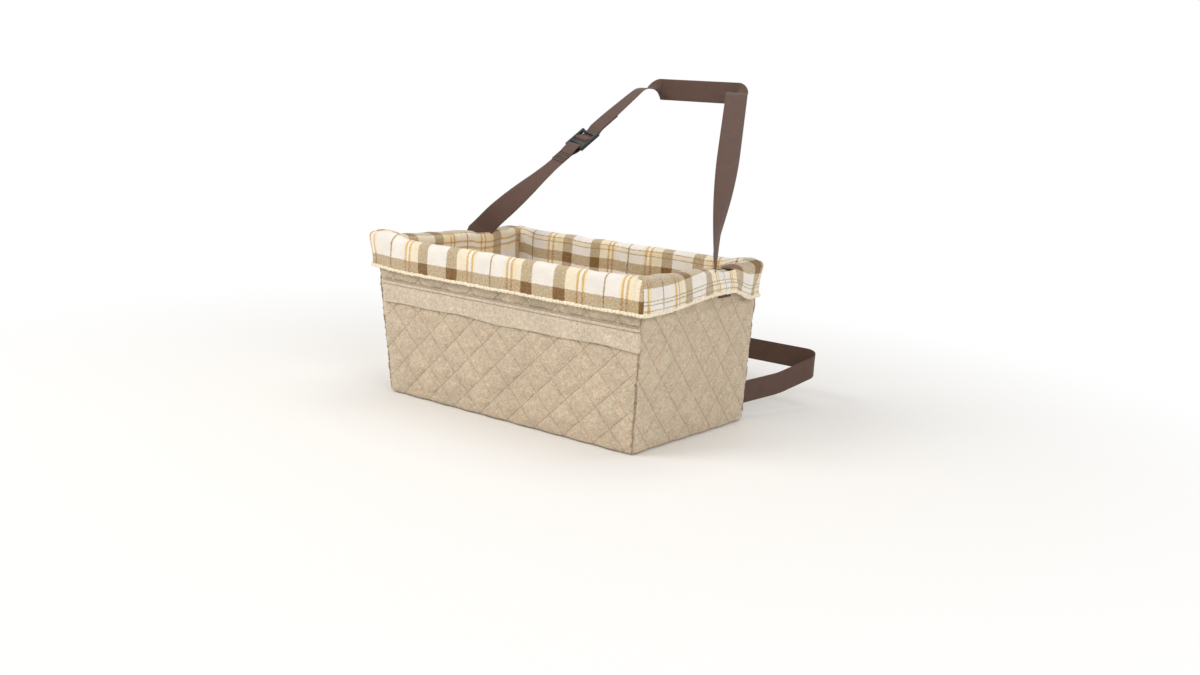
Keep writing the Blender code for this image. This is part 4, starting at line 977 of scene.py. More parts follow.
class Quilt:
    """Lattice of quilting seams on a flat cover, turned and sheared as the photograph shows."""

    def __init__(self, crossing, shear=0.0, turned=False):
        width, height = sizes().diamond_width, sizes().diamond_height
        self.crossing = np.array(crossing)
        self.turned = turned
        self.up = np.array((width / 2 + shear / 2, height / 2))
        self.down = np.array((width / 2 - shear / 2, -height / 2))
        self.inverse = np.linalg.inv(np.stack([self.up, self.down], 1))

    def coordinates(self, points):
        """Seam numbers of flat points: a whole number is on a seam."""
        return (np.asarray(points) - self.crossing) @ self.inverse.T

    def pattern(self, points):
        """The same numbers with the clearer seams second."""
        made = self.coordinates(points)
        return made[:, ::-1] if self.turned else made


def quilted_sheet(quilt, outline, windows=(), cells=10):
    """Flat mesh on the lattice, cut to an outline, with rectangular windows left out."""
    corners = np.array(outline)
    spans = quilt.coordinates(corners)
    # One row of diamonds more than the outline needs, on every side
    low = np.floor(spans.min(0)).astype(int) - 1
    high = np.ceil(spans.max(0)).astype(int) + 1
    counts = (high - low) * cells + 1
    p, q = np.meshgrid(np.linspace(low[0], high[0], counts[0]), np.linspace(low[1], high[1], counts[1]),
                       indexing="ij")
    flat = quilt.crossing + p[..., None] * quilt.up + q[..., None] * quilt.down
    sheet = bmesh.new()
    verts = [sheet.verts.new((a, b, 0.0)) for a, b in flat.reshape(-1, 2)]
    for face in grid_faces(*counts):
        sheet.faces.new([verts[k] for k in face])
    sheet.normal_update()
    bmesh.ops.reverse_faces(sheet, faces=[f for f in sheet.faces if f.normal.z < 0])
    for start, end in zip(corners, np.roll(corners, -1, axis=0)):
        out = (end[1] - start[1], start[0] - end[0], 0.0)
        bmesh.ops.bisect_plane(sheet, geom=all_parts(sheet), dist=1e-5, plane_co=(*start, 0.0), plane_no=out,
                               clear_outer=True)
    for x0, x1, y0, y1 in windows:
        for point, direction in (((x0, 0), (1, 0)), ((x1, 0), (1, 0)), ((0, y0), (0, 1)), ((0, y1), (0, 1))):
            bmesh.ops.bisect_plane(sheet, geom=all_parts(sheet), dist=1e-5, plane_co=(*point, 0.0),
                                   plane_no=(*direction, 0.0))
        middles = [(f, f.calc_center_median()) for f in sheet.faces]
        inside = [f for f, middle in middles if x0 < middle.x < x1 and y0 < middle.y < y1]
        bmesh.ops.delete(sheet, geom=inside, context="FACES")
    bmesh.ops.remove_doubles(sheet, verts=sheet.verts, dist=2e-4)
    sheet.verts.ensure_lookup_table()
    points = np.array([v.co for v in sheet.verts])[:, :2]
    sheet.verts.index_update()
    faces = [[v.index for v in f.verts] for f in sheet.faces]
    sheet.free()
    return points, faces


def pillow(coordinates, sharpness=2.7):
    """Height from 0 on a seam to 1 in the middle of a diamond."""
    away = 1 - np.abs(2 * (coordinates - np.floor(coordinates)) - 1)
    shape = 1 - (1 - away) ** sharpness
    return shape[..., 0] * shape[..., 1]


# A crossing of the seams, then how far the up seams lean and whether the clearer seams run up
COVER_QUILTS = {
    "front": ((0.0395, 0.0890), 0.0045), "right": ((-0.145, 0.1087), 0.0, True),
    "rear": ((0.0, 0.1050),), "left": ((0.010, 0.1000),),
}
COVER_TOP = 0.2455
# Zip window of the front cover: its two ends and its two edges
ZIP_WINDOW = (-0.214, 0.214, 0.170, 0.185)
# How far a seam of the quilting stands out from the rod's plane, and a cover's end from its neighbour
SEAM_U = 0.0030
SEAM_GAP = 0.00008
ROLL_SPAN = math.radians(62)
SUEDE_THICKNESS = 0.0019
# How much larger than its side a cover is cut out at first
COVER_SPARE = 0.02
# How much of its puff a cover loses where something lies over it
FLATTENED = 0.72
# How near to a seam the cloth is held while it swells, as a share of a diamond, and how far it may go
HELD_SHARE = 0.02
SWELL_LIMIT = 0.0017


def bottom_profile(t, u):
    """Fold a cover's flat height round the lower edge: offset and height."""
    radius = sizes().bottom_roll
    angle = np.maximum(radius - t, 0) / radius
    z = np.where(t >= radius, t, radius - (radius + 0 * u) * np.sin(angle))
    return u - radius * (1 - np.cos(angle)), z


def cover_puff(side, s, t, height):
    """How far a cover stands out over its seams: padding, creases, and flat places under what covers it."""
    seed = 51.0 + side.number
    tuck = 1 + 0.30 * wobble(s, t, seed, 0.022) + 0.22 * wobble(s, t, seed + 1, 0.009)
    creases = 0.0010 * wobble(s * 0.45, t + 0.25 * s, seed + 2, 0.0085) * (0.3 + 0.7 * height)
    puff = (sizes().puff * height * tuck + creases) * (0.45 + 0.55 * rise(t, 0.0, 0.024))
    covered = rise(t, STRAP_FOOT_Z - 0.004, STRAP_FOOT_Z + 0.004)
    if side.name == "front":
        behind_flap = rise(t, FLAP_LOW[2] - 0.010, FLAP_LOW[2])
        above_flap = rise(t, FLAP_HIGH[2] - 0.005, FLAP_HIGH[2])
        covered = np.maximum(covered, behind_flap * (1 - 0.12 * above_flap))
    if side.name == "rear":
        covered = np.maximum(covered, rise(np.abs(s), 0.135, 0.148) * (1 - rise(t, 0.056, 0.066)))
    return puff * (1 - FLATTENED * covered)


def mend_cover(mesh):
    """Take out the faces that shrank to nothing at the corner seams."""
    bmesh.ops.dissolve_degenerate(mesh, dist=1e-6, edges=mesh.edges)
    bmesh.ops.delete(mesh, geom=[f for f in mesh.faces if f.calc_area() < 1e-9], context="FACES")
    drop_loose(mesh)


def quilted_cover(side):
    """Padded cover of one side, from under the cuff down and round the lower edge."""
    quilt = Quilt(*COVER_QUILTS[side.name])
    low = sizes().bottom_roll * (1 - ROLL_SPAN)
    foot, top = ([end + COVER_SPARE for end in side.ends(0.005, z, 1.0)] for z in (0.0, COVER_TOP))
    outline = [(-foot[0], low), (foot[1], low), (top[1], COVER_TOP), (-top[0], COVER_TOP)]
    flat, faces = quilted_sheet(quilt, outline, (ZIP_WINDOW,) if side.name == "front" else ())
    s, t = flat[:, 0], flat[:, 1]
    puff = cover_puff(side, s, t, pillow(quilt.coordinates(flat)))
    left, right = side.ends(SEAM_U, np.maximum(t, 0.0), 1.0)
    away = np.maximum(np.minimum(s + left, right - s), 0)
    puff = puff * (0.25 + 0.75 * rise(away, 0.0, 0.014))
    pucker = 0.0006 * np.exp(-away / 0.020) * wobble(0 * s, t, 56.0 + side.number, 0.0150)
    pinch = 0.0007 * np.exp(-(away / 0.0022) ** 2)
    u, z = bottom_profile(t, SEAM_U + puff + pucker * rise(away, 0.0, 0.004) - pinch)
    for sign in (-1, 1):
        limit = side.half_length(sign, u, z, 1.0) - SEAM_GAP
        s = np.where(sign * s > limit, sign * limit, s)
    keep = [f for f in faces if len({round(s[i], 6) for i in f}) > 1 or len({round(t[i], 6) for i in f}) > 1]
    made = link_mesh("quilted_cover_" + side.name, side.place(s, u, z, 1.0), keep,
                     quilt.pattern(flat), "quilt")
    add_uv(made, "edge", np.stack([away, t], -1))
    reshape(made, mend_cover)
    ease_quilting(made)
    give_thickness(made, SUEDE_THICKNESS, -1.0)
    finish_piece(made, "quilted_microsuede", "box", "suede", "quilted_panel_" + side.name)
    return made


def ease_quilting(cover):
    """Let the cloth between the seams swell and wrinkle as wadding does, with the seams held."""
    mesh = cover.data
    pattern = np.zeros(2 * len(mesh.loops))
    mesh.uv_layers["quilt"].uv.foreach_get("vector", pattern)
    numbers = np.zeros((len(mesh.vertices), 2))
    numbers[face_corners(mesh)] = pattern.reshape(-1, 2)
    away = np.abs(numbers - np.round(numbers)).min(1)
    ring = bmesh.new()
    ring.from_mesh(mesh)
    pins = [v.index for v in ring.verts if v.is_boundary or away[v.index] < HELD_SHARE]
    ring.free()
    before = np.array([v.co for v in mesh.vertices])
    moved = simulate_puff(cover, pressure=0.6, frames=12, pins=pins, shrink=-0.035) - before
    set_points(cover, before + capped(moved, SWELL_LIMIT))


def plan_ring(u, z, per_side, swollen=1.0):
    """Closed ring round the box through all four sides at one offset and height."""
    share = np.linspace(-1, 1, per_side, endpoint=False)
    return np.vstack([side.place(side.spread(share, u, z, swollen), u, z, swollen)
                      for side in SIDES.values()])


def ring_sheet(name, profile, per_side=72, swollen=1.0):
    """Sheet in rings from its edge to the middle."""
    rings = [plan_ring(u, z, per_side, swollen) for u, z in profile]
    height = profile[-1][1]
    centre = np.array((0.0, rings[0][:, 1].mean(), height))
    for share in np.linspace(0.9, 0.12, 22):
        ring = rings[len(profile) - 1].copy()
        ring[:, :2] = centre[:2] + (ring[:, :2] - centre[:2]) * share
        ring[:, 2] = height
        rings.append(ring)
    count = len(rings[0])
    points = np.vstack(rings + [centre[None]])
    faces = tube_faces(len(rings), count, capped=False)
    last = (len(rings) - 1) * count
    faces += [(last + j, len(points) - 1, last + (j + 1) % count) for j in range(count)]
    made = link_mesh(name, points, faces, points[:, :2])
    choose(made)
    bpy.ops.object.mode_set(mode="EDIT")
    bpy.ops.mesh.select_all(action="SELECT")
    bpy.ops.mesh.normals_make_consistent(inside=False)
    bpy.ops.object.mode_set(mode="OBJECT")
    return made


def face_way(obj, upwards):
    """Turn a sheet's faces up or down."""
    total = sum(p.normal.z * p.area for p in obj.data.polygons)
    if (total > 0) != upwards:
        obj.data.flip_normals()


def base_cover():
    """Plain suede under the box, which rolls up to meet the four covers."""
    radius = sizes().bottom_roll
    profile = [(SEAM_U - radius * (1 - math.cos(angle)), radius - radius * math.sin(angle))
               for angle in np.radians((63, 70, 78, 86, 90))]
    profile += [(SEAM_U - radius - inward, 0.0) for inward in (0.012, 0.030)]
    made = ring_sheet("base_cover", profile)
    face_way(made, False)
    give_thickness(made, 0.0018, -1.0)
    finish_piece(made, "plain_microsuede", "box", "suede", "base_panel")
    return made


def liner_floor():
    """Plush floor under the loose cushion, sewn to the four liner sides."""
    z = LINER_FOOT + sizes().fleece_thickness
    made = ring_sheet("plush_floor", [(-0.0088, z), (-0.016, z)], swollen=0.0)
    face_way(made, True)
    give_thickness(made, sizes().fleece_thickness - 0.0002, -1.0)
    finish_piece(made, "plush_plaid_floor", "box", "fleece", "liner_floor")
    return made


# Pocket

def flap_edge(x):
    """Wavy lower edge of the pocket band: how far it hangs below its node's foot."""
    return 0.0012 * np.sin(x / 0.047 + 0.8) + 0.0010 * np.sin(x / 0.021 + 2.1)


def pocket_band():
    """Smooth band over the zip, sewn along its top in two rows and free along its lower edge."""
    side = SIDES["front"]
    columns, rows = 150, 22
    high, low = FLAP_HIGH[2] - 0.0035, FLAP_LOW[2] - 0.0040
    seams = side.ends(0.006, (low + high) / 2, 1.0)
    left, right = 0.0105 - seams[0], seams[1] - 0.0012
    t = np.linspace(0, 1, rows)[:, None]
    s = left + (right - left) * np.linspace(0, 1, columns)[None, :] + 0 * t
    foot = low - flap_edge(s)
    z = foot + (high - foot) * t
    drop = high - z
    # Sewn edge, free edge that stands off, waves, and ends that sink into the side seams
    u = 0.0060 + 0.0010 * np.exp(-((drop - 0.0045) / 0.0024) ** 2)
    u += 0.0009 * rise(drop, 0.010, 0.024) + 0.0009 * (1 - t) ** 6
    u += 0.0007 * wobble(s, z * 0.6, 81.0, 0.030) * rise(drop, 0.004, 0.02)
    u += 0.0005 * wobble(s, z, 83.0, 0.012) * rise(drop, 0.0, 0.01)
    u -= 0.0026 * np.exp(-(np.minimum(s - left, right - s) / 0.0035) ** 2)
    uv = np.stack([s, drop], -1).reshape(-1, 2)
    made = link_mesh("pocket_band", side.place(s, u, z, 1.0).reshape(-1, 3), grid_faces(rows, columns), uv)
    give_thickness(made, 0.0017, 0.0)
    apply_modifier(made, "BEVEL", width=0.0005, segments=2, limit_method="ANGLE")
    finish_piece(made, "smooth_microsuede", "flap", "pocket_suede", "pocket_flap")
    return made


# Webbing straps

def unit(vectors):
    """Vectors in rows, or one vector, made one long."""
    return vectors / np.linalg.norm(vectors, axis=-1, keepdims=True)


def webbing_rings(mesh):
    """Four corners of every ring of a webbing solid, and which ring each point is in."""
    partners = []
    for length in (WEB_WIDTH, WEB_THICKNESS):
        found = {}
        for vert in mesh.verts:
            closest = min(vert.link_edges, key=lambda e: abs(e.calc_length() - length))
            found[vert.index] = closest.other_vert(vert).index
        partners.append(found)
    rings, owner = [], {}
    for vert in mesh.verts:
        if vert.index in owner:
            continue
        a = vert.index
        b, c = partners[0][a], partners[1][a]
        d = partners[1][b]
        if partners[0][c] != d:
            raise RuntimeError("A webbing ring isn't closed")
        owner.update(dict.fromkeys((a, b, c, d), len(rings)))
        rings.append([np.array(mesh.verts[index].co) for index in (a, b, c, d)])
    return rings, owner


def ring_order(mesh, count, owner):
    """Ring numbers in the order of the route, from one end to the other."""
    links = {i: set() for i in range(count)}
    for edge in mesh.edges:
        first, second = (owner.get(v.index) for v in edge.verts)
        if first is not None and second is not None and first != second:
            links[first].add(second)
            links[second].add(first)
    order = [next(i for i, near_by in links.items() if len(near_by) == 1)]
    following = list(links[order[0]])
    while following:
        order.append(following[0])
        following = [i for i in links[order[-1]] if i not in order]
    if len(order) != count:
        raise RuntimeError("The rings of a webbing don't form one route")
    return order


def strap_route(name):
    """Centres, width and face directions of a webbing node, read ring by ring."""
    mesh = bmesh.new()
    mesh.from_mesh(frame["nodes"][name].data)
    bmesh.ops.remove_doubles(mesh, verts=mesh.verts, dist=1e-6)
    mesh.verts.ensure_lookup_table()
    rings, owner = webbing_rings(mesh)
    order = ring_order(mesh, len(rings), owner)
    mesh.free()
    centres, across, faces = [], [], []
    for a, b, c, d in (rings[i] for i in order):
        wide, face = unit(b - a), unit(c - a)
        if across:
            wide = wide * np.sign(np.dot(wide, across[-1]))
            face = face * np.sign(np.dot(face, faces[-1]))
        centres.append((a + b + c + d) / 4)
        across.append(wide)
        faces.append(face)
    return np.array(centres) - ORIGIN, np.array(across), np.array(faces)


def route_lengths(centres):
    """Distance of each ring from the first one, along the route."""
    return np.concatenate([[0], np.cumsum(np.linalg.norm(np.diff(centres, axis=0), axis=1))])


def fine_route(centres, across, faces, step=0.0022):
    """The same route with a ring every few millimetres, its corners eased by two averages."""
    lengths = route_lengths(centres)
    at = np.linspace(0, lengths[-1], max(8, int(lengths[-1] / step)))
    path, wide, out = (np.stack([np.interp(at, lengths, values[:, k]) for k in range(3)], -1)
                       for values in (centres, across, faces))
    for _ in range(2):
        path[1:-1] = (path[:-2] + 2 * path[1:-1] + path[2:]) / 4
    wide = unit(wide)
    along = unit(np.gradient(path, axis=0))
    wide = unit(wide - along * np.sum(along * wide, 1)[:, None])
    normal = np.cross(wide, along)
    return path, wide, normal * np.sign(np.sum(normal * out, 1))[:, None], at


def from_wall(route):
    """The same route with its lowest end first."""
    centres = route[0]
    return tuple(part[::-1] for part in route) if centres[0][2] > centres[-1][2] else route


def free_end(route, start, across, shift, reach=0.090, steps=12):
    """Route whose wall end, up to a distance, becomes one straight flat run into the cuff."""
    centres, wide, faces = route
    first = int(np.argmax(route_lengths(centres) >= start))
    along = unit(centres[first + 2] - centres[first])
    run = np.linspace(reach, 0, steps, endpoint=False)[:, None]
    eased = rise(run, 0.0, 0.055)
    target = np.array(across) if across is not None else wide[first]
    target = target * np.sign(np.dot(target, wide[first]))
    lower = centres[first] - along * run + np.array(shift) * eased
    lower_wide = wide[first] + (target - wide[first]) * eased
    lower_face = np.repeat(faces[first][None], steps, 0)
    return tuple(np.vstack([new, old[first:]])
                 for new, old in ((lower, centres), (lower_wide, wide), (lower_face, faces)))


# Each support strap's node, where it leaves its route for the cuff, the direction of its width
# there, how far its end is moved, and where it is cut off beyond the rod
SUPPORTS = {
    "support_webbing_left": ("left_support_strap", 0.100, None, (-0.0100, 0.0145, -0.0035),
                             -ROD_X - 0.0235),
    "support_webbing_headrest": ("headrest_strap", 0.103, (-0.346, 0.558, -0.754), (0.0040, 0.0, 0.0),
                                 ROD_X + 0.0200),
}
# Height where the support straps end inside the cuff, and a little below it the sewn feet
CUFF_CUT_Z = 0.2485
FOOT_TOP_Z = 0.2470
FOOT_U = 0.0068
FOOT_RINGS = 6
# Distances of the bar tacks from a strap's upper end or its foot
SUPPORT_TACKS = (0.010, 0.0135, 0.020, 0.0235)
SEAT_TACKS = (0.004, 0.0075, 0.030, 0.0335)
TACK_HALF_LENGTH = 0.0170


def strap_foot(side):
    """Sewn end of a support strap, flat on its wall under the cuff."""
    z = np.linspace(STRAP_FOOT_Z + 0.0110, FOOT_TOP_Z, FOOT_RINGS)
    centres = side.place(SLOT_PLACES[side.name], FOOT_U, z, 1.0)
    return centres, np.tile(side.along, (FOOT_RINGS, 1)), np.tile(side.normal, (FOOT_RINGS, 1))


def cut_strap(mesh, cuts):
    """Cut a strap off behind planes and close it again."""
    for place, direction in cuts:
        bmesh.ops.bisect_plane(mesh, geom=all_parts(mesh), dist=1e-6,
                               plane_co=Vector(np.array(place) + ORIGIN),
                               plane_no=direction, clear_outer=True)
        bmesh.ops.holes_fill(mesh, edges=[e for e in mesh.edges if e.is_boundary], sides=0)
    face_outwards(mesh)


def webbing_strap(name, nodes, route, cuts=()):
    """Flat webbing with thick selvedges, woven along its route, and cut off inside the cuff."""
    half, thick = WEB_WIDTH / 2, WEB_THICKNESS / 2 - 0.00004
    steps = np.linspace(-1, 1, 13)
    lift = np.where(np.abs(steps) > 0.97, 0.55, np.where(np.abs(steps) > 0.80, 1.10, 1.0)) * thick
    across = np.concatenate([steps, steps[::-1]]) * half
    lift = np.concatenate([lift, -lift])
    path, wide, normal, at = fine_route(*route)
    points = path[:, None] + wide[:, None] * across[None, :, None] + normal[:, None] * lift[None, :, None]
    uv = np.stack([np.tile(across, len(path)), np.repeat(at, len(across))], -1)
    made = link_mesh(name, points.reshape(-1, 3), tube_faces(len(path), len(across), turned=True), uv)
    reshape(made, cut_strap, cuts)
    return finish_piece(made, "polyester_webbing", "box", "webbing", *nodes)


# Places along half a stitch, its sides, and how much of its pitch it fills
STITCH_SHARES = (-1.0, -0.55, 0.0, 0.55, 1.0)
STITCH_SIDES = 6
STITCH_FILL = 0.46


def stitch_row(start, end, out, pitch=0.0023, radius=0.00075):
    """Row of short raised stitches between two points."""
    span = np.linalg.norm(end - start)
    along = (end - start) / span
    out = unit(out)
    side = np.cross(along, out)
    count = max(2, int(span / pitch))
    turns = [2 * math.pi * k / STITCH_SIDES for k in range(STITCH_SIDES)]
    points, faces = [], []
    for n in range(count):
        middle = start + along * (n + 0.5) * span / count
        faces += tube_faces(len(STITCH_SHARES), STITCH_SIDES, len(points), turned=True)
        for share in STITCH_SHARES:
            fat = radius * (math.sqrt(max(0.0, 1 - share * share)) * 0.8 + 0.2)
            ring = middle + along * share * span / count * STITCH_FILL
            points += [ring + (side * math.cos(turn) + out * math.sin(turn)) * fat for turn in turns]
    return points, faces


def support_strap(name, node, start, across, shift, limit):
    """Support strap along its node's route, cut off inside the cuff and beyond the rod."""
    route = free_end(from_wall(strap_route(node)), start, across, shift)
    inside = ((0.0, 0.0, CUFF_CUT_Z), (0.0, 0.0, -1.0))
    outside = ((limit, 0.0, 0.0), (math.copysign(1.0, limit), 0.0, 0.0))
    return webbing_strap(name, [node], route, (inside, outside))


def strap_tacks(name, node, distances, facing, from_foot=False):
    """Bar tacks across the side of a strap that faces a way, at distances from its upper end or its foot."""
    path, wide, normal, at = fine_route(*from_wall(strap_route(node)))
    away = at if from_foot else at[-1] - at
    facing = np.array(facing, float)
    points, faces = [], []
    for distance in distances:
        tail = path[int(np.argmin(np.abs(away - distance)))]
        layers = np.nonzero(np.linalg.norm(path - tail, axis=1) < 0.0045)[0]
        i = max(layers, key=lambda k: path[k] @ facing)
        out = normal[i] * (1 if normal[i] @ facing > 0 else -1)
        centre = path[i] + out * 0.0010
        reach = wide[i] * TACK_HALF_LENGTH
        made, quads = stitch_row(centre - reach, centre + reach, out)
        faces += [tuple(len(points) + k for k in f) for f in quads]
        points += made
    made = link_mesh(name, np.array(points), faces)
    reshape(made, face_outwards)
    return finish_piece(made, "nylon_thread", "box", "webbing")


def add_block(low, high):
    """Box between two corners, made with operators."""
    deselect()
    bpy.ops.mesh.primitive_cube_add(size=1.0)
    made = bpy.context.active_object
    made.dimensions = [b - a for a, b in zip(low, high)]
    made.location = [(a + b) / 2 for a, b in zip(low, high)]
    bpy.ops.object.transform_apply(location=True, rotation=True, scale=True)
    return made


def combine(made, other, operation):
    """Join a block to a piece, or cut it out."""
    apply_modifier(made, "BOOLEAN", operation=operation, object=other, solver="EXACT")
    bpy.data.objects.remove(other)


# Slide, along the strap, across it and through it: half its frame, the ends of its windows and half
# their width, the edges of its rails and half their length and height, and its finger bar
SLIDE_FRAME = (0.0205, 0.0255, 0.0015)
SLIDE_WINDOWS = ((-0.0158, -0.0128), (-0.0048, -0.0020), (0.0022, 0.0160))
WINDOW_HALF = 0.0207
RAIL = (0.0206, 0.0268)
RAIL_HALF = (0.0222, 0.0027)
FINGER_BAR = ((-0.0127, -0.0210, -0.0022), (-0.0050, 0.0210, 0.0022))


def strap_slide():
    """Moulded slide with three thin bars between thick rails and a finger bar, where its node lies."""
    corners = np.array([v.co for v in frame["nodes"]["strap_slide"].data.vertices])
    centre = corners.mean(0)
    thick, along, width = np.linalg.eigh(np.cov((corners - centre).T))[1].T
    along = along * np.sign(along[2])
    thick = np.cross(along, width)
    made = add_block([-half for half in SLIDE_FRAME], SLIDE_FRAME)
    made.name = "slide_adjuster"
    for low, high in SLIDE_WINDOWS:
        window = add_block((low, -WINDOW_HALF, -0.004), (high, WINDOW_HALF, 0.004))
        combine(made, window, "DIFFERENCE")
    length, height = RAIL_HALF
    for sign in (-1, 1):
        first, last = sorted(sign * edge for edge in RAIL)
        combine(made, add_block((-length, first, -height), (length, last, height)), "UNION")
    combine(made, add_block(*FINGER_BAR), "UNION")
    apply_modifier(made, "BEVEL", width=0.0007, segments=2, limit_method="ANGLE")
    turn = Matrix((along, width, thick)).transposed().to_4x4()
    turn.translation = Vector(centre)
    made.data.transform(turn)
    return finish_piece(made, "black_acetal", "box", "black_plastic", "strap_slide")


# Cushion

def cushion_pad(low, size, centre):
    """Pad with rounded corners, a little narrower at its foot, on the lower end of its node."""
    body = bmesh.new()
    bmesh.ops.create_cube(body, size=1.0)
    for vert in body.verts:
        shrink, height = (0.965, 0.034) if vert.co.z > 0 else (0.94, 0.001)
        vert.co.x = vert.co.x * size[0] * shrink
        vert.co.y = vert.co.y * size[1] * shrink
        vert.co.z = low[2] - centre[2] + height
    bmesh.ops.bevel(body, geom=[e for e in body.edges if abs(e.verts[0].co.z - e.verts[1].co.z) > 0.01],
                    offset=0.030, segments=6, affect="EDGES", profile=0.5)
    bmesh.ops.subdivide_edges(body, edges=body.edges, cuts=5, use_grid_fill=True)
    mesh = bpy.data.meshes.new("plush_cushion")
    body.to_mesh(mesh)
    body.free()
    mesh.transform(Matrix.Translation(Vector(centre + ORIGIN)))
    made = link_object("plush_cushion", mesh)
    apply_modifier(made, "REMESH", mode="VOXEL", voxel_size=0.0055)
    return made


def floor_cushion():
    """Loose cushion: a crowned plush pad that lifts out."""
    low, high = node_box("floor_cushion")
    size, centre = high - low, (high + low) / 2
    made = cushion_pad(low, size, centre)
    base = np.array([v.co for v in made.data.vertices])
    puffed = simulate_puff(made, pressure=3.0, frames=16)
    done = base + capped(puffed - base, 0.015)
    for axis, spare in ((0, 0.0), (1, 0.0), (2, 0.004)):
        done[:, axis] = np.clip(done[:, axis], low[axis] + ORIGIN[axis], high[axis] + ORIGIN[axis] + spare)
    set_points(made, done)
    add_uv(made, "cloth", done[:, :2] - ORIGIN[:2])
    apply_modifier(made, "SUBSURF", levels=1, render_levels=1)
    finish_piece(made, "plush_plaid_cushion", "cushion", "fleece", "floor_cushion")
    return made


# Frame nodes that keep their own solids

KEPT_NODES = {
    "rim_frame": "drawn_steel", "rim_ferrule": "drawn_steel", "wall_board": "foam_board",
    "base_board": "foam_board", "buckle_socket": "black_acetal", "buckle_plug": "black_acetal",
    "buckle_arm": "black_acetal", "zip_slider": "plated_zinc", "zip_pull": "plated_zinc",
    "zip_teeth": "nylon_coil", "zip_tape": "zip_tape_weave", "rim_casing": "casing_cotton",
    "pocket_pouch": "pocket_lining",
}


def dress_frame():
    """Give the solids that stay their real materials."""
    for name, obj in frame["nodes"].items():
        kinds = [kind for prefix, kind in KEPT_NODES.items() if name.startswith(prefix)]
        if obj.hide_render or not kinds:
            continue
        for place in obj.material_slots:
            place.material = find_material(kinds[-1])
        if not obj.material_slots:
            obj.data.materials.append(find_material(kinds[-1]))


# Stage

CAMERA_PLACE = Vector((1.11747, -1.85885, -0.04021))
CAMERA_YAW, CAMERA_PITCH, CAMERA_ROLL = (math.radians(v) for v in (35.010, 11.200, 3.861))
CAMERA_LENS = 34.8
SENSOR_WIDTH = 36.0
WHITE = (1.0, 1.0, 1.0, 1.0)
WARM = (1.0, 0.98, 0.95)


def set_camera():
    """Camera with the photograph's viewing angle."""
    back = Vector((math.sin(CAMERA_YAW) * math.cos(CAMERA_PITCH),
                   -math.cos(CAMERA_YAW) * math.cos(CAMERA_PITCH), math.sin(CAMERA_PITCH)))
    right = (-back).cross(Vector((0, 0, 1))).normalized()
    up = right.cross(-back)
    turn = (math.cos(CAMERA_ROLL), math.sin(CAMERA_ROLL))
    level = right * turn[0] + up * turn[1]
    upright = up * turn[0] - right * turn[1]
    data = bpy.data.cameras.new("view")
    data.lens = CAMERA_LENS
    data.sensor_width = SENSOR_WIDTH
    made = link_object("view", data)
    axes = Matrix((level, upright, back)).transposed()
    made.matrix_world = Matrix.Translation(CAMERA_PLACE) @ axes.to_4x4()
    bpy.context.scene.camera = made


def add_softbox(name, place, target, size, power, colour=WHITE[:3]):
    """Large rectangular lamp that looks at a point."""
    data = bpy.data.lights.new(name, "AREA")
    data.shape = "RECTANGLE"
    data.size = data.size_y = size
    data.energy = power
    data.color = colour
    made = link_object(name, data)
    made.location = place
    made.rotation_euler = (Vector(target) - Vector(place)).to_track_quat("-Z", "Y").to_euler()


def seen_ray(tree):
    """One for rays from the camera, mirrors and glass, zero for the light that falls on things."""
    path = add_node(tree, "ShaderNodeLightPath")
    first = maths(tree, "MAXIMUM", path.outputs["Is Camera Ray"], path.outputs["Is Glossy Ray"])
    return maths(tree, "MAXIMUM", first, path.outputs["Is Transmission Ray"])


def mix_shaders(tree, factor, first, second, output):
    """Lay one shader over another and show the result."""
    mixed = add_node(tree, "ShaderNodeMixShader", {0: factor, 1: first.outputs[0], 2: second.outputs[0]})
    add_node(tree, output, {"Surface": mixed.outputs[0]})


def set_world():
    """White to the eye, and a softer even light on the object."""
    world = bpy.data.worlds.new("studio")
    bpy.context.scene.world = world
    world.use_nodes = True
    tree = world.node_tree
    tree.nodes.clear()
    lit = add_node(tree, "ShaderNodeBackground", {"Color": (1.0, 0.985, 0.965, 1.0), "Strength": 0.57})
    white = add_node(tree, "ShaderNodeBackground", {"Color": WHITE, "Strength": 1.0})
    mix_shaders(tree, seen_ray(tree), lit, white, "ShaderNodeOutputWorld")


def floor_paper():
    """Matt white paper that fades to pure white far from the object."""
    material = bpy.data.materials.new("matt_paper")
    material.use_nodes = True
    tree = material.node_tree
    tree.nodes.clear()
    centred = vector_maths(tree, "SUBTRACT", on_object(tree), (0.0, ORIGIN[1], ORIGIN[2]))
    fade = ranged(tree, vector_maths(tree, "LENGTH", centred), 0.45, 1.3, 0.0, 1.0, "SMOOTHSTEP")
    paper = add_node(tree, "ShaderNodeBsdfDiffuse", {"Color": linear("#F4F3F1")})
    white = add_node(tree, "ShaderNodeEmission", {"Color": WHITE, "Strength": 1.0})
    shown = maths(tree, "MULTIPLY", fade, seen_ray(tree))
    mix_shaders(tree, shown, paper, white, "ShaderNodeOutputMaterial")
    return material


def add_floor():
    """Pale floor that keeps the object's shadow and fades to white far away."""
    deselect()
    bpy.ops.mesh.primitive_circle_add(vertices=96, radius=9.0, fill_type="NGON",
                                      location=(0.0, ORIGIN[1], ORIGIN[2] - 0.0004))
    made = bpy.context.active_object
    made.name = "studio_floor"
    bpy.ops.object.transform_apply(location=True, rotation=True, scale=True)
    made.data.materials.append(floor_paper())


# Operators

class BOOSTER_OT_liner(bpy.types.Operator):
    """Make the plush liner, its cuff, its hem and the plush floor"""

    bl_idname = "booster.liner"
    bl_label = "Plush liner and cuff"

    def execute(self, context):
        for key, side in SIDES.items():
            made, flat = liner_side(side)
            hem = hem_tube(side)
        liner_floor()
        return {"FINISHED"}


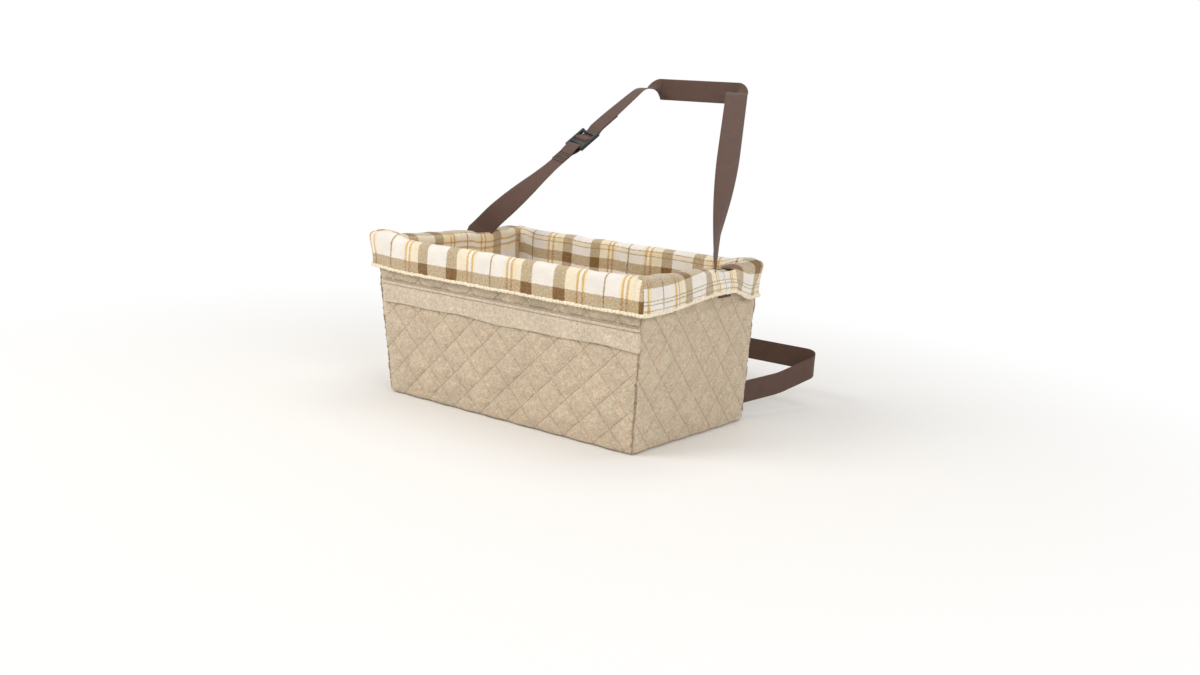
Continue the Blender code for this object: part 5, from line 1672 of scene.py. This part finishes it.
class BOOSTER_OT_covers(bpy.types.Operator):
    """Make the quilted covers of the four sides and the plain cover under the box"""

    bl_idname = "booster.covers"
    bl_label = "Quilted covers"

    def execute(self, context):
        for side in SIDES.values():
            quilted_cover(side)
        base_cover()
        return {"FINISHED"}


class BOOSTER_OT_pocket(bpy.types.Operator):
    """Make the smooth band over the zip"""

    bl_idname = "booster.pocket"
    bl_label = "Pocket band"

    def execute(self, context):
        pocket_band()
        return {"FINISHED"}


class BOOSTER_OT_cushion(bpy.types.Operator):
    """Make the loose floor cushion"""

    bl_idname = "booster.cushion"
    bl_label = "Floor cushion"

    def execute(self, context):
        floor_cushion()
        return {"FINISHED"}


class BOOSTER_OT_straps(bpy.types.Operator):
    """Make the webbing straps, their slide and their bar tacks"""

    bl_idname = "booster.straps"
    bl_label = "Webbing straps"

    def execute(self, context):
        for name, plan in SUPPORTS.items():
            support_strap(name, *plan)
        for key in SLOT_PLACES:
            webbing_strap("strap_foot_" + key, [], strap_foot(SIDES[key]))
        for key in SLOT_PLACES:
            node = "seat_strap_" + key
            webbing_strap("seat_webbing_" + key, [node], strap_route(node))
        strap_slide()
        strap_tacks("support_tacks", "left_support_strap", SUPPORT_TACKS, (0, -1, 0))
        for key in SLOT_PLACES:
            strap_tacks("seat_tacks_" + key, "seat_strap_" + key, SEAT_TACKS, (0, 1, 0), from_foot=True)
        return {"FINISHED"}


class BOOSTER_OT_solids(bpy.types.Operator):
    """Give the rod, boards, buckle and zip their materials"""

    bl_idname = "booster.solids"
    bl_label = "Rod, boards, buckle and zip"

    def execute(self, context):
        dress_frame()
        return {"FINISHED"}


class BOOSTER_OT_stage(bpy.types.Operator):
    """Set the floor, the soft light and the camera"""

    bl_idname = "booster.stage"
    bl_label = "Floor, light and camera"

    def execute(self, context):
        set_camera()
        set_world()
        add_floor()
        centre = (0.0, ORIGIN[1], -0.38)
        add_softbox("key", (-1.6, -2.9, 1.7), centre, 1.8, 52.0, WARM)
        add_softbox("fill", (2.6, -1.6, 0.9), centre, 1.8, 23.0, WARM)
        add_softbox("top", (0.2, 0.3, 2.4), centre, 2.2, 22.0)
        context.scene.view_settings.view_transform = "Standard"
        return {"FINISHED"}


class BOOSTER_PT_panel(bpy.types.Panel):
    """Steps that make the booster box"""

    bl_idname = "BOOSTER_PT_panel"
    bl_label = "Dog booster box"
    bl_space_type = "VIEW_3D"
    bl_region_type = "UI"
    bl_category = "Booster"

    def draw(self, context):
        layout = self.layout
        for group in (context.scene.booster_sizes, context.scene.booster_colours):
            for name in group.__annotations__:
                layout.prop(group, name)
        for operator in OPERATORS:
            layout.operator(operator.bl_idname)


GROUPS = (BoosterSizes, BoosterColours)
OPERATORS = (BOOSTER_OT_liner, BOOSTER_OT_covers, BOOSTER_OT_pocket, BOOSTER_OT_cushion, BOOSTER_OT_straps,
             BOOSTER_OT_solids, BOOSTER_OT_stage)


def register():
    """Register the settings, the steps and the panel."""
    for kind in (*GROUPS, *OPERATORS, BOOSTER_PT_panel):
        bpy.utils.register_class(kind)
    bpy.types.Scene.booster_sizes = PointerProperty(type=BoosterSizes)
    bpy.types.Scene.booster_colours = PointerProperty(type=BoosterColours)


def unregister():
    """Undo register."""
    del bpy.types.Scene.booster_sizes
    del bpy.types.Scene.booster_colours
    for kind in reversed((*GROUPS, *OPERATORS, BOOSTER_PT_panel)):
        bpy.utils.unregister_class(kind)


# Setting of each wall that leans out, the height where that starts, and its share at the foot
SWELLS = {
    "right": ("side_swell", 0.0, 0.25),
    "left": ("left_swell", 0.0, 0.62),
    "rear": ("rear_swell", 0.062, 0.0),
}


def main():
    """Make the whole piece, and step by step."""
    register()
    for key, (setting, low, foot) in SWELLS.items():
        SIDES[key].swell, SIDES[key].swell_low, SIDES[key].swell_foot = getattr(sizes(), setting), low, foot
    bpy.ops.booster.liner()
    bpy.ops.booster.covers()
    bpy.ops.booster.pocket()
    bpy.ops.booster.cushion()
    bpy.ops.booster.straps()
    bpy.ops.booster.solids()
    bpy.ops.booster.stage()


if __name__ == "__main__":
    main()
